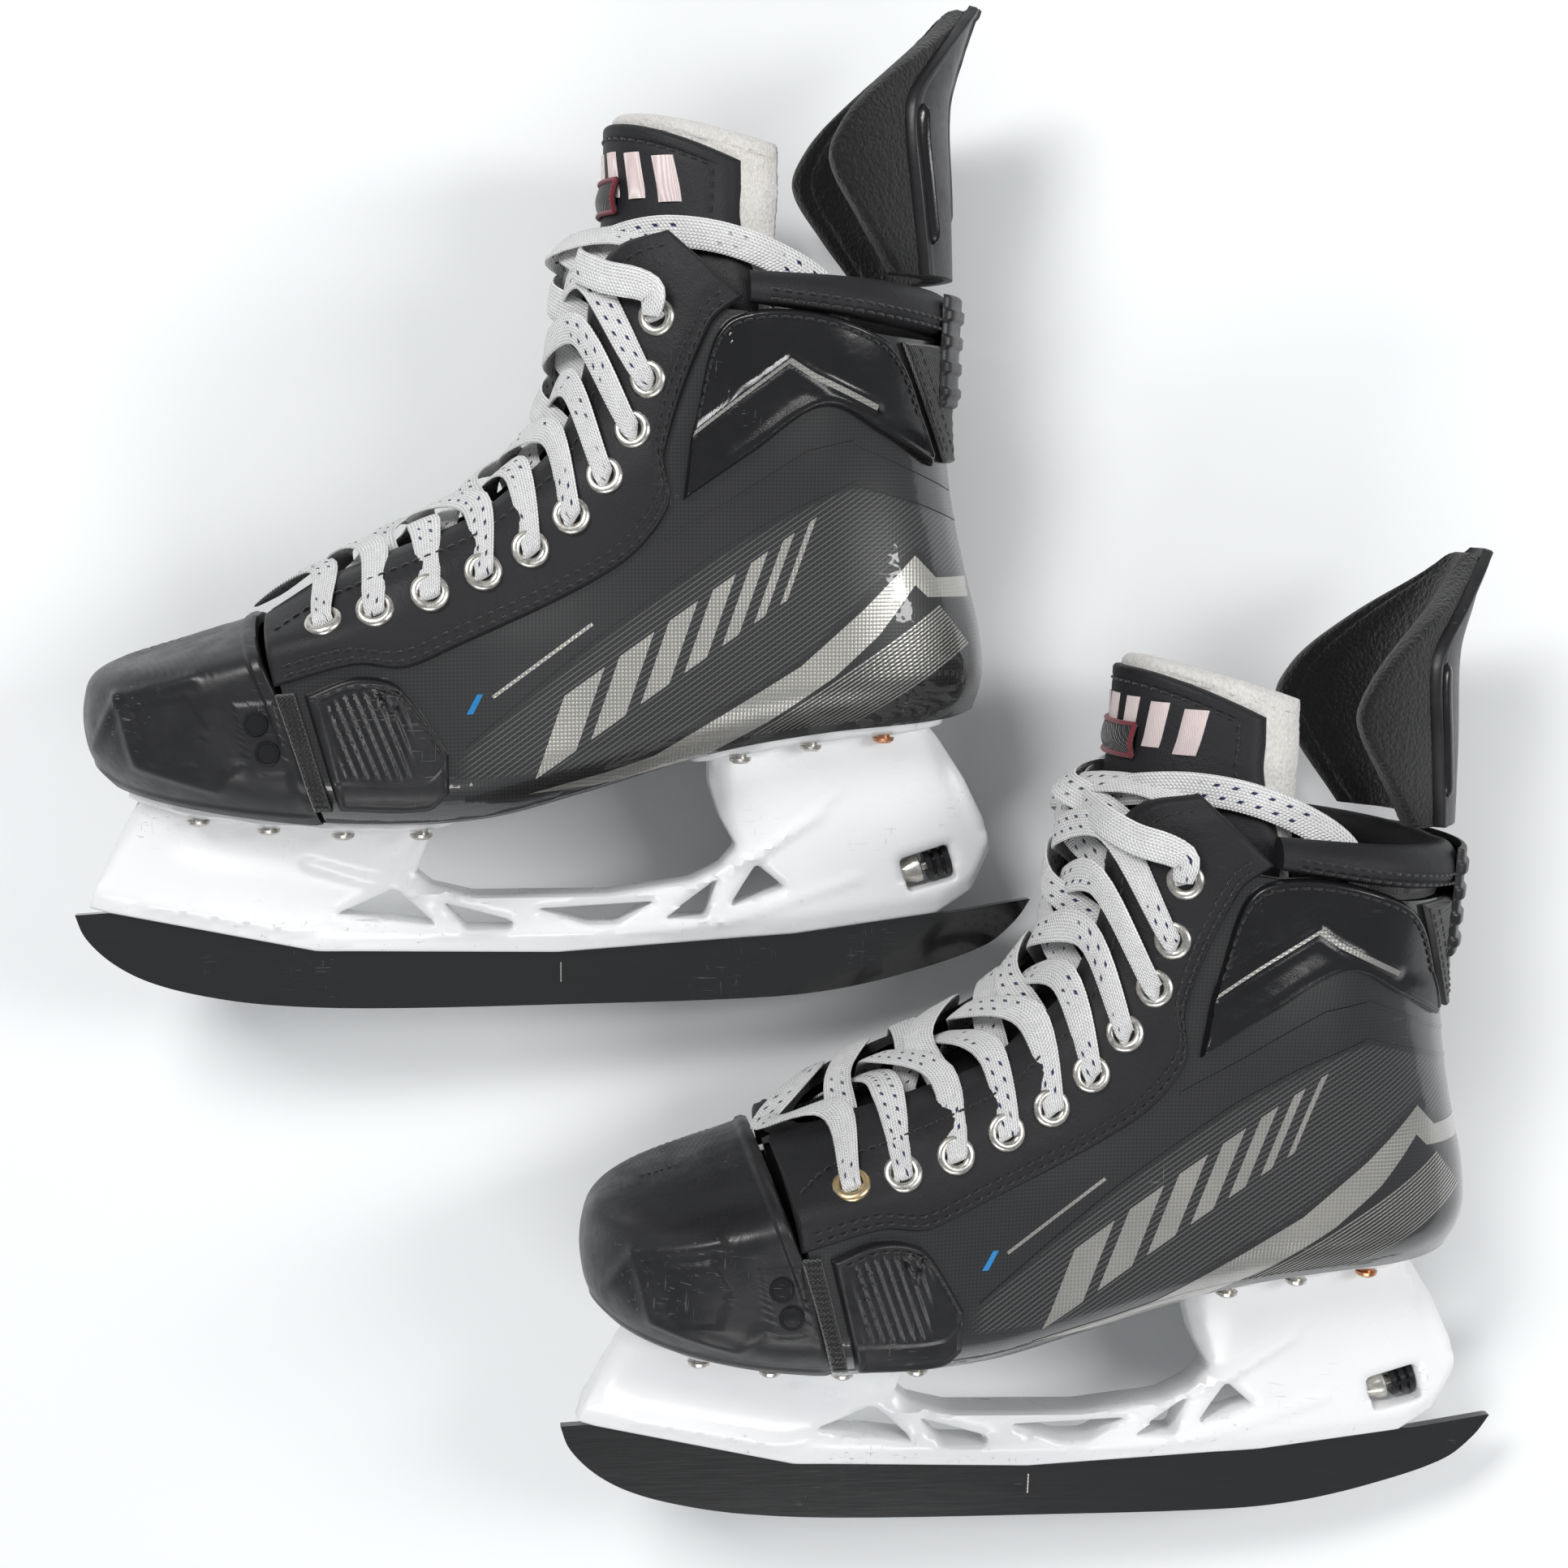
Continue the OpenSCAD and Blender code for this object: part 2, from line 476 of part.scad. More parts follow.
// The lock's axis, pointing back and up from the middle of its window
lock_at = [110, 0, 40.3];
module on_lock(a = 0) translate(lock_at) rotate([0, 90 - lock_tilt, 0]) translate([0, 0, a])
    children();
hook_front = [-118, -106];
hook_rear = [86, 97];
// Outline of the tang, grown by a gap
function tang_outline(g, drop) = concat(
    [[-124 - g, keel(-124) - drop], [-124 - g, keel(-124) + tang_h - 1 + g]],
    [[hook_front[0] - g, keel(hook_front[0]) + tang_h + g], [hook_front[0] - g, 40 + g],
     [hook_front[1] + g, 40 + g], [hook_front[1] + g, keel(hook_front[1]) + tang_h + g]],
    [for (x = [-74, -3, 69]) [x, keel(x) + tang_h + g]],
    [[hook_rear[0] - g, keel(hook_rear[0]) + tang_h + g], [hook_rear[0] - g, 42 + g],
     [hook_rear[1] + g, 42 + g], [hook_rear[1] + g, keel(hook_rear[1]) + tang_h + g]],
    [[112 + g, keel(112) + tang_h - 1 + g], [112 + g, keel(112) - drop]],
    [for (x = [69, -3, -74]) [x, keel(x) - drop]]);
module holder() color("white")
    difference() {
        union() {
            side_cut(concat(KEEL_LOW, KEEL_TOP), keel_w);
            tower([-137, -66], [-124, -38], [-128, -32], 0.62);
            tower([56, 127], [42, 109], [36, 114], 0.62);
        }
        for (w = WINDOWS) side_cut(w, 60);
        side_cut(LOCK_WINDOW, 60);
        side_cut(tang_outline(0.4, 6), tang_t + 2 * slot_gap);
        on_lock(-20) cylinder(r = nose_r + 0.35, h = 13, $fn = 32);
        on_lock(7) cylinder(r = 1.8, h = 9, $fn = 24);
        on_lock(15) cylinder(r = 3.4, h = 12, $fn = 32);
        rivet_shanks(0.05);
    }

// ---- rivets --------------------------------------------------------------------------------
RIVETS_FRONT = [-106, -86, -65, -43];
RIVETS_REAR = [50, 71];
COPPER_X = 93;
rivet_share = 0.8;     // how far out on the flange they stand
module at_rivets(xs) for (x = xs, side = [-1, 1])
    translate([x, centre(x) + side * rivet_share * flange_half(x), sole(x)]) children();
module rivet_shanks(gap) at_rivets(concat(RIVETS_FRONT, RIVETS_REAR, [COPPER_X]))
    translate([0, 0, -8]) cylinder(r = 2 + gap, h = 14, $fn = 24);
module rivet() {
    translate([0, 0, -5.6]) cylinder(r = 3.2, h = 1.2, $fn = 32);
    translate([0, 0, -4.5]) cylinder(r = 2, h = 7.2, $fn = 24);
}
module rivets() {
    color(nickel) at_rivets(concat(RIVETS_FRONT, RIVETS_REAR)) rivet();
    color(copper) at_rivets([COPPER_X]) rivet();
}

// ---- runner --------------------------------------------------------------------------------
RUNNER = concat(
    [[-143.5, 30.5], [-141, 24], [-134, 16.5], [-124, 10.5], [-110, 6], [-90, 2.4], [-60, 0.4],
     [0, 0], [60, 0.5], [85, 2.8], [110, 8.5], [130, 15.5], [139, 23], [143.5, 29.5]],
    [[118, 25.5], [112, keel(112) - 0.2]],
    [for (x = [69, -3, -74, -124]) [x, keel(x) - 0.2]], [[-134, 31]]);
module runner() color(steel_black) {
    side_cut(RUNNER, runner_t);
    side_cut(tang_outline(0, 0.4), tang_t);
}

// ---- lock ----------------------------------------------------------------------------------
bolt_travel = 1.4;
module lock_bolt() color(nickel) on_lock() rotate_extrude($fn = 48)
    polygon([[0, -12.4], [nose_r - 0.6, -12.4], [nose_r, -11.8], [nose_r, -7.4],
             [dial_r - 0.3, -3.6], [dial_r - 0.3, -0.2 - bolt_travel], [1.6, -0.2 - bolt_travel],
             [1.6, 4.4], [0, 4.4]]);
module lock_dial() color(satin_black) on_lock() rotate_extrude($fn = 48)
    polygon([[1.9, 0], [dial_r, 0], [dial_r, 2.2], [3.4, 2.2], [3.4, 2.8], [dial_r, 2.8],
             [dial_r, 5], [3.4, 5], [3.4, 5.6], [dial_r, 5.6], [dial_r, 7.6], [1.9, 7.6]]);
module lock_screw() color(nickel) on_lock() {
    translate([0, 0, 6.2]) cylinder(r = 1.6, h = 11, $fn = 24);
    translate([0, 0, 15.4]) difference() {
        cylinder(r = 3.1, h = 3.4, $fn = 32);
        translate([0, 0, 1.6]) cylinder(r = 1.5, h = 3, $fn = 6);
    }
}

// ---- placing -------------------------------------------------------------------------------
module left() translate(left_at) rotate([roll - 90, pitch_left, yaw_left]) children();
module right() translate(right_at) rotate([roll - 90, pitch_right, yaw_right])
    mirror([0, 1, 0]) children();

left() shell();  // left_shell
left() outsole();  // left_outsole
left() toe_cap();  // left_toe_cap
left() toe_plugs();  // left_toe_plugs
left() toe_band();  // left_toe_band
left() side_overlays();  // left_side_overlays
left() eyestays();  // left_eyestays
left() eyelets();  // left_eyelets
left() ankle_panels();  // left_ankle_panels
left() heel_panel();  // left_heel_panel
left() collar();  // left_collar
left() liner();  // left_liner
left() footbed();  // left_footbed
left() tongue_lower();  // left_tongue_lower
left() tongue_felt_lower();  // left_tongue_felt_lower
left() tongue_upper();  // left_tongue_upper
left() tongue_felt_upper();  // left_tongue_felt_upper
left() lace_loop();  // left_lace_loop
left() lace();  // left_lace
left() lace_ends();  // left_lace_ends
left() guard_base();  // left_guard_base
left() tendon_guard();  // left_tendon_guard
left() tendon_pad();  // left_tendon_pad
left() holder();  // left_holder
left() rivets();  // left_rivets
left() runner();  // left_runner
left() lock_dial();  // left_lock_dial
left() lock_bolt();  // left_lock_bolt
left() lock_screw();  // left_lock_screw
right() shell();  // right_shell
right() outsole();  // right_outsole
right() toe_cap();  // right_toe_cap
right() toe_plugs();  // right_toe_plugs
right() toe_band();  // right_toe_band
right() side_overlays();  // right_side_overlays
right() eyestays();  // right_eyestays
right() eyelets();  // right_eyelets
right() ankle_panels();  // right_ankle_panels
right() heel_panel();  // right_heel_panel
right() collar();  // right_collar
right() liner();  // right_liner
right() footbed();  // right_footbed
right() tongue_lower();  // right_tongue_lower
right() tongue_felt_lower();  // right_tongue_felt_lower
right() tongue_upper();  // right_tongue_upper
right() tongue_felt_upper();  // right_tongue_felt_upper
right() lace_loop();  // right_lace_loop
right() lace();  // right_lace
right() lace_ends();  // right_lace_ends
right() guard_base();  // right_guard_base
right() tendon_guard();  // right_tendon_guard
right() tendon_pad();  // right_tendon_pad
right() holder();  // right_holder
right() rivets();  // right_rivets
right() runner();  // right_runner
right() lock_dial();  // right_lock_dial
right() lock_bolt();  // right_lock_bolt
right() lock_screw();  // right_lock_screw
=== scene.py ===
"""The looks of a pair of ice hockey skates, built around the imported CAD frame.

Each skate is built standing up in its own frame in millimetres, as the CAD source has it:
X along the runner with the heel at +X, Y across with the little-toe side at -Y, Z up from the
lowest point of the steel.  Skate.place() then lays it where the frame's joints say it lies.
"""
import json
import math
import bmesh
import bpy
import numpy as np
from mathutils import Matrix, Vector
from mathutils.geometry import delaunay_2d_cdt


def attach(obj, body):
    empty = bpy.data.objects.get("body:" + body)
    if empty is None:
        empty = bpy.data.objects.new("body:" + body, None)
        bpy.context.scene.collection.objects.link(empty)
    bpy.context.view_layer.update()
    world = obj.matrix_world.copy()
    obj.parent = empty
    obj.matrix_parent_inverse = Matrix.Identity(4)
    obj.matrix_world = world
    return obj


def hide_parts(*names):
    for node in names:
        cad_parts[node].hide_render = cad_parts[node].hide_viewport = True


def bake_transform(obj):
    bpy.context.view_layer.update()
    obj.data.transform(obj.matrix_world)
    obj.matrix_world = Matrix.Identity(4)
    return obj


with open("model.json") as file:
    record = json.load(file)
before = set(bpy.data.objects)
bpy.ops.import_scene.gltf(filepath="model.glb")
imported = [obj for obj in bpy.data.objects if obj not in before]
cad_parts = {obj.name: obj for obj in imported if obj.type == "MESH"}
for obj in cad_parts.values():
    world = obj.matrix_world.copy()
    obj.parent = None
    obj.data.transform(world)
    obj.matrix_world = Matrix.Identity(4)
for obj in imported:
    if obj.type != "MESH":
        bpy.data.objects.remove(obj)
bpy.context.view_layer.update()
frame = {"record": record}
joints = {j["name"]: j for j in frame["record"]["behaviour"]["joints"]}
random = np.random.default_rng(7)
MM = 0.001

# ---- camera, light and floor -------------------------------------------------------------------
CAMERA_AT = (-0.0055, -0.0035, 0.750)
FIELD = math.radians(36.9)


def make_camera():
    data = bpy.data.cameras.new("camera")
    data.angle = FIELD
    camera = bpy.data.objects.new("camera", data)
    camera.location = CAMERA_AT
    bpy.context.collection.objects.link(camera)
    bpy.context.scene.camera = camera


def area_light(name, at, size, power, aim=(0, 0, 0.05)):
    data = bpy.data.lights.new(name, "AREA")
    data.shape = "RECTANGLE"
    data.size, data.size_y = size
    data.energy = power
    light = bpy.data.objects.new(name, data)
    light.location = at
    light.rotation_euler = (Vector(aim) - Vector(at)).to_track_quat("-Z", "Y").to_euler()
    bpy.context.collection.objects.link(light)


def make_lights():
    scene = bpy.context.scene
    scene.view_settings.view_transform = "Standard"
    world = bpy.data.worlds.new("studio")
    world.use_nodes = True
    world.node_tree.nodes["Background"].inputs["Color"].default_value = (0.93, 0.96, 1.0, 1)
    world.node_tree.nodes["Background"].inputs["Strength"].default_value = 0.36
    scene.world = world
    area_light("key", (-0.55, 0.65, 1.15), (0.6, 0.3), 11.5)
    area_light("fill", (0.95, 0.15, 1.0), (0.3, 0.7), 7)
    area_light("rim", (0.0, -1.1, 0.9), (0.9, 0.3), 6)


# ---- small mathematics, as in the CAD source ---------------------------------------------------
def clamp(t):
    return np.clip(t, 0, 1)


def smooth(t):
    u = clamp(t)
    return u * u * (3 - 2 * u)


def mix(a, b, t):
    return a + (b - a) * t


def unit(v):
    return v / np.maximum(np.linalg.norm(v, axis=-1, keepdims=True), 1e-9)


def spline(knots, x):
    """A smooth curve through [x, value] knots, level beyond its ends."""
    at, value = np.array(knots, float).T
    x = np.clip(np.asarray(x, float), at[0], at[-1])
    slope = np.empty(len(at))
    slope[1:-1] = (value[2:] - value[:-2]) / (at[2:] - at[:-2])
    slope[0] = (value[1] - value[0]) / (at[1] - at[0])
    slope[-1] = (value[-1] - value[-2]) / (at[-1] - at[-2])
    i = np.clip(np.searchsorted(at, x, "right") - 1, 0, len(at) - 2)
    h = at[i + 1] - at[i]
    t = (x - at[i]) / h
    return ((2 * t**3 - 3 * t**2 + 1) * value[i] + (t**3 - 2 * t**2 + t) * h * slope[i]
            + (3 * t**2 - 2 * t**3) * value[i + 1] + (t**3 - t**2) * h * slope[i + 1])


def run_of(points):
    """The length travelled at each point of a polyline."""
    steps = np.linalg.norm(np.diff(points, axis=0), axis=1)
    return np.concatenate([[0], np.cumsum(steps)])


def curve(points):
    """A plane curve through points, read with along() by its share of the length."""
    p = np.array(points, float)
    run = run_of(p)
    return [np.stack([run / run[-1], p[:, k]], 1) for k in (0, 1)]


def along(c, s):
    return np.stack([spline(c[0], s), spline(c[1], s)], -1)


# ---- the boot's outer surface, as in the CAD source --------------------------------------------
SOLE = [[-139, 74], [-126, 68], [-100, 64], [-60, 61], [-25, 62], [5, 69], [40, 79], [75, 85],
        [110, 88], [127, 92]]
FRONT = [[60, -122], [68, -130], [76, -137], [86, -139.5], [95, -139], [101, -136.5],
         [105, -130], [112, -108], [118, -90], [123, -81], [129, -73], [136, -60], [145, -42],
         [155, -26], [166, -13], [178, -6], [192, -3], [210, -1], [240, 2]]
BACK = [[80, 118], [88, 123], [100, 126], [115, 124.5], [130, 120.5], [150, 116], [170, 113.5],
        [190, 113], [215, 114], [240, 115]]
WIDTH = [[-139, 45], [-110, 49], [-80, 52], [-60, 52], [-25, 46.5], [5, 42], [40, 39.5],
         [80, 38.5], [127, 38]]
ROUND_LEN, ROUND_POW = 46, 2.2
EDGE_H, EDGE_IN = 16, 0.25
ANKLE_BULGE, ANKLE_AT = 11.5, (74, 200)


def sole(x):
    return spline(SOLE, x)


def front(z, d=0):
    slope = spline(FRONT, z + 0.5) - spline(FRONT, z - 0.5)
    return spline(FRONT, z) - d * np.minimum(4, np.sqrt(1 + slope**2))


def back(z, d=0):
    return spline(BACK, z) + d


def centre(x):
    return 6 * smooth((-20 - x) / 115)


def round_off(gap):
    return (1 - clamp(1 - gap / ROUND_LEN) ** ROUND_POW) ** (1 / ROUND_POW)


def half(x, z, d=0):
    """Half the boot's width at x and z, a distance d outside its surface."""
    bulge = ANKLE_BULGE * np.exp(-(((x - ANKLE_AT[0]) / 40) ** 2) - ((z - ANKLE_AT[1]) / 34) ** 2)
    full = spline(WIDTH, x) + d + bulge - 5 * smooth((z - 110) / 50) * smooth((40 - x) / 60)
    edge = 1 - EDGE_IN * np.maximum(0, 1 - np.maximum(0, z - sole(x) + d) / EDGE_H) ** ROUND_POW
    return full * edge * round_off(x - front(z, d)) * round_off(back(z, d) - x)


def surf(side, x, z, d=0):
    x, z = np.broadcast_arrays(np.asarray(x, float), np.asarray(z, float))
    return np.stack([x, centre(x) + side * half(x, z, d), z], -1)


def out_dir(side, x, z):
    """The outward direction of the surface."""
    dx = -(half(x + 1, z) - half(x - 1, z)) / 2
    dz = -(half(x, z + 1) - half(x, z - 1)) / 2
    return unit(np.stack(np.broadcast_arrays(dx, np.asarray(side, float), dz), -1))


def off(side, x, z, d):
    """The point a distance d straight out from the surface."""
    return surf(side, x, z) + np.asarray(d, float)[..., None] * out_dir(side, x, z)


# ---- outlines on the boot's side, as [x, z] ----------------------------------------------------
THROAT = curve([[-86, 119], [-70, 129], [-54, 136], [-28, 147], [-17, 155], [-5, 166],
                [1.6, 179], [5, 192], [6.6, 210], [13, 222], [27, 226.5]])
EYESTAY_SEAM = curve([[-82, 101], [-60, 107], [-47, 106], [-36, 110], [12, 133], [27, 150],
                      [26, 166], [38, 200], [47, 208]])
SHELL_TOP = curve([[-81, 104], [-66, 110], [-37, 119.5], [-9, 132], [5, 142], [15, 154],
                   [23.5, 169], [29, 186], [33, 203], [44, 204.5], [84, 198.5], [113, 197]])
OVERLAY_LOW = curve([[-65, 66], [-41, 65.5], [-35, 71]])
OVERLAY_HIGH = curve([[-74, 99], [-60, 104], [-48, 101], [-35, 82]])
BAND_FRONT = curve([[-72, 66], [-76, 80], [-82, 99]])
BAND_REAR = curve([[-67, 66], [-71, 80], [-76.5, 99.5]])
ANKLE_LOW = curve([[31, 152], [50, 165], [70, 178], [88, 170.5], [105, 162]])
ANKLE_HIGH = curve([[33, 170], [44, 202.5], [87, 197], [106, 165]])
EYELETS = [[-67.7, 116.9], [-54, 121], [-39.7, 126.1], [-25.3, 131.9], [-12.2, 138.1],
           [-0.3, 147.1], [9.6, 158.2], [17.8, 171.3], [22.2, 185.4], [24.7, 202.4]]
PANEL_TOP = 2.3        # how far the sewn panels stand out from the surface
SHELL_T = 2.2
LINER_D = (-8.0, -3.0)


# ---- shapes ------------------------------------------------------------------------------------
class Shape:
    """Points in a skate's own frame, faces, and the pattern coordinates that a material reads."""

    def __init__(self, points, faces, pattern=None):
        self.points = np.asarray(points, float).reshape(-1, 3)
        self.faces = faces
        self.pattern = self.points.copy() if pattern is None else np.asarray(pattern, float)


def join(shapes):
    points, faces, pattern, at = [], [], [], 0
    for s in shapes:
        points.append(s.points)
        pattern.append(s.pattern)
        faces += [tuple(k + at for k in f) for f in s.faces]
        at += len(s.points)
    return Shape(np.concatenate(points), faces, np.concatenate(pattern))


def grid_faces(rows, cols, around=False):
    """Quads over a grid of points; around joins the last column to the first."""
    last = cols if around else cols - 1
    return [(i * cols + j, i * cols + (j + 1) % cols, (i + 1) * cols + (j + 1) % cols,
             (i + 1) * cols + j) for i in range(rows - 1) for j in range(last)]


def slab(outer, inner):
    """A closed solid between two grids of points."""
    m, n = outer.shape[:2]
    shift = m * n
    faces = grid_faces(m, n)
    behind = [tuple(k + shift for k in reversed(f)) for f in faces]
    ring = (list(range(n - 1)) + [i * n + n - 1 for i in range(m - 1)]
            + [(m - 1) * n + j for j in range(n - 1, 0, -1)] + [i * n for i in range(m - 1, 0, -1)])
    walls = [(p, p + shift, q + shift, q) for p, q in zip(ring, ring[1:] + ring[:1])]
    return Shape(np.concatenate([outer.reshape(-1, 3), inner.reshape(-1, 3)]),
                 faces + behind + walls)


def resample(points, step):
    """Points along a polyline, a step apart."""
    p = np.asarray(points, float)
    run = run_of(p)
    n = max(2, int(round(run[-1] / step)) + 1)
    s = np.linspace(0, run[-1], n)
    return np.stack([np.interp(s, run, p[:, k]) for k in range(p.shape[1])], -1)


def smooth_path(points, per_span=8):
    """A smooth curve through points in space."""
    p = np.asarray(points, float)
    run = run_of(p)
    s = np.concatenate([np.linspace(a, b, per_span, endpoint=False)
                        for a, b in zip(run[:-1], run[1:])] + [[run[-1]]])
    return np.stack([spline(np.stack([run, p[:, k]], 1), s) for k in range(3)], -1)


def sweep(path, section, across=None, scale=None, ends=True):
    """A closed section swept along a path.  across steers the section's first direction."""
    n, sides = len(path), len(section)
    heading = unit(np.gradient(path, axis=0))
    if across is None:
        first = np.cross(heading[0], [0.31, 0.52, 0.79])
        across = [unit(first)]
        for k in range(1, n):
            last = across[-1]
            across.append(unit(last - (last @ heading[k]) * heading[k]))
        across = np.array(across)
    across = unit(across - np.sum(across * heading, 1)[:, None] * heading)
    normal = np.cross(heading, across)
    scale = np.ones((n, 2)) if scale is None else np.asarray(scale, float)
    section = np.asarray(section, float)
    points = (path[:, None] + across[:, None] * (section[None, :, :1] * scale[:, None, :1])
              + normal[:, None] * (section[None, :, 1:] * scale[:, None, 1:]))
    run = run_of(path)
    pattern = np.zeros((n, sides, 3))
    pattern[..., 0] = run[:, None]
    pattern[..., 1] = section[None, :, 0]
    pattern[..., 2] = section[None, :, 1]
    faces = grid_faces(n, sides, True)
    if ends:
        faces += [tuple(range(sides)), tuple((n - 1) * sides + k for k in range(sides))]
    return Shape(points, faces, pattern.reshape(-1, 3))


def ring(radius, sides=8, flat=1.0):
    a = np.arange(sides) * 2 * np.pi / sides
    return np.stack([radius * np.cos(a), radius * flat * np.sin(a)], 1)


def lathe(profile, turn=32):
    """A closed solid turned about Z from [radius, height] points, first and last joined."""
    a = np.arange(turn) * 2 * np.pi / turn
    p = np.asarray(profile, float)
    points = np.stack([p[:, None, 0] * np.cos(a), p[:, None, 0] * np.sin(a),
                       np.repeat(p[:, 1:], turn, 1)], -1)
    m = len(p)
    faces = grid_faces(m, turn, True)
    faces += [((m - 1) * turn + j, (m - 1) * turn + (j + 1) % turn, (j + 1) % turn, j)
              for j in range(turn)]
    return Shape(points, faces)


def stand(shape, at, axis):
    """A shape moved so that its Z axis leaves a point along an axis."""
    z = unit(np.asarray(axis, float))
    x = unit(np.cross([0.1, 1.0, 0.2], z))
    turn = np.stack([x, np.cross(z, x), z])
    return Shape(shape.points @ turn + np.asarray(at, float), shape.faces, shape.pattern)


def on_surface(shape, side, x, z, d=0.0):
    return stand(shape, off(side, x, z, d), out_dir(side, x, z))


def stitches(path, normal, pitch=3.4, length=2.3, radius=0.36):
    """A row of stitches lying on a path, each a short thread that dips in at its ends."""
    run = run_of(path)
    section = ring(radius, 6)
    shapes = []
    for start in np.arange(pitch / 2, run[-1] - length, pitch):
        s = start + np.array([0, 0.18, 0.5, 0.82, 1]) * length
        at = np.stack([np.interp(s, run, path[:, k]) for k in range(3)], -1)
        up = unit(np.stack([np.interp(s, run, normal[:, k]) for k in range(3)], -1))
        dip = np.array([-0.45, 0.05, 0.16, 0.05, -0.45])[:, None]
        heading = unit(np.gradient(at, axis=0))
        shapes.append(sweep(at + up * dip, section, np.cross(up, heading)))
    return join(shapes)


def rounded(gap, radius):
    """How high a rounded edge stands, from 0 to 1, a gap in from it."""
    return np.sqrt(1 - (1 - clamp(gap / radius)) ** 2)


def ladder(length, step, radius):
    """Shares of a length, closer together near its ends where an edge is rounded."""
    near = np.array([0, 0.04, 0.15, 0.35, 0.65, 1.0]) * radius / length
    middle = np.linspace(near[-1], 1 - near[-1], max(3, int(length / step)))
    return np.concatenate([near[:-1], middle, 1 - near[:-1][::-1]])


def panel(side, low, high, across, length, top=PANEL_TOP, radius=1.1, step=1.5, lift=None,
          foot=-0.3):
    """A sewn panel with rounded edges between two outline curves, on one side of the boot.

    lift(x, z, low_gap, high_gap, end_gap) adds to its height."""
    s = ladder(length, step, radius)
    t = ladder(across, step, radius)
    a, b = along(low, s), along(high, s)
    p = a[None] + (b - a)[None] * t[:, None, None]
    wide = np.linalg.norm(b - a, axis=1)[None]
    low_gap = t[:, None] * wide
    high_gap = (1 - t[:, None]) * wide
    end_gap = np.minimum(s, 1 - s)[None] * length + 0 * low_gap
    gap = np.minimum(np.minimum(low_gap, high_gap), end_gap)
    d = mix(foot, top, rounded(gap, radius))
    x, z = p[..., 0], p[..., 1]
    if lift is not None:
        d = d + lift(x, z, low_gap, high_gap, end_gap) * smooth(gap / radius)
    return slab(surf(side, x, z, d), surf(side, x, z, foot - 0.4))


def groove(gap, at, depth=0.35, width=0.7):
    return -depth * np.exp(-(((gap - at) / width) ** 2))


def inset(low, high, share, from_low=None, from_high=None):
    """Points a distance in from one of two outline curves."""
    a, b = along(low, share), along(high, share)
    wide = np.linalg.norm(b - a, axis=1)[:, None]
    t = from_low / wide if from_low is not None else 1 - from_high / wide
    return a + (b - a) * t


def stitch_on(side, p, d=PANEL_TOP, **keys):
    """Stitches along [x, z] points on the boot's surface."""
    return stitches(surf(side, p[:, 0], p[:, 1], d), out_dir(side, p[:, 0], p[:, 1]), **keys)


def strip(side, a, b, d=0.1, step=1.5, deep=-0.3):
    """A thin film on the boot between two polylines of as many points."""
    a, b = np.asarray(a, float), np.asarray(b, float)
    run = run_of((a + b) / 2)
    s = np.unique(np.concatenate([np.arange(0, run[-1], step), run]))
    pa = np.stack([np.interp(s, run, a[:, k]) for k in (0, 1)], -1)
    pb = np.stack([np.interp(s, run, b[:, k]) for k in (0, 1)], -1)
    m = max(2, int(np.max(np.linalg.norm(pb - pa, axis=1)) / step) + 1)
    t = np.linspace(0, 1, m)[:, None, None]
    p = pa[None] + (pb - pa)[None] * t
    return slab(surf(side, p[..., 0], p[..., 1], d), surf(side, p[..., 0], p[..., 1], deep))


# ---- flat bodies seen from the side ------------------------------------------------------------
SLOT_HALF = 1.45       # half the width of the runner's slot


def inside(points, loop):
    """Which points lie inside a loop."""
    x, z = points[:, 0][:, None], points[:, 1][:, None]
    ax, az = loop[:, 0][None], loop[:, 1][None]
    bx, bz = np.roll(ax, -1, 1), np.roll(az, -1, 1)
    rise = np.where(np.abs(bz - az) < 1e-12, 1e-12, bz - az)
    crossing = ((az > z) != (bz > z)) & (x < (bx - ax) * (z - az) / rise + ax)
    return crossing.sum(1) % 2 == 1


def distance(points, line, closed=True):
    """Distance from points to a polyline."""
    a = line if closed else line[:-1]
    b = np.roll(line, -1, 0) if closed else line[1:]
    best = np.full(len(points), 1e9)
    for p, q in zip(a, b):
        v = q - p
        t = clamp((points - p) @ v / max(v @ v, 1e-12))
        best = np.minimum(best, np.linalg.norm(points - p - t[:, None] * v, axis=1))
    return best


def closed_loop(points, step):
    p = np.asarray(points, float)
    return resample(np.concatenate([p, p[:1]]), step)[:-1]


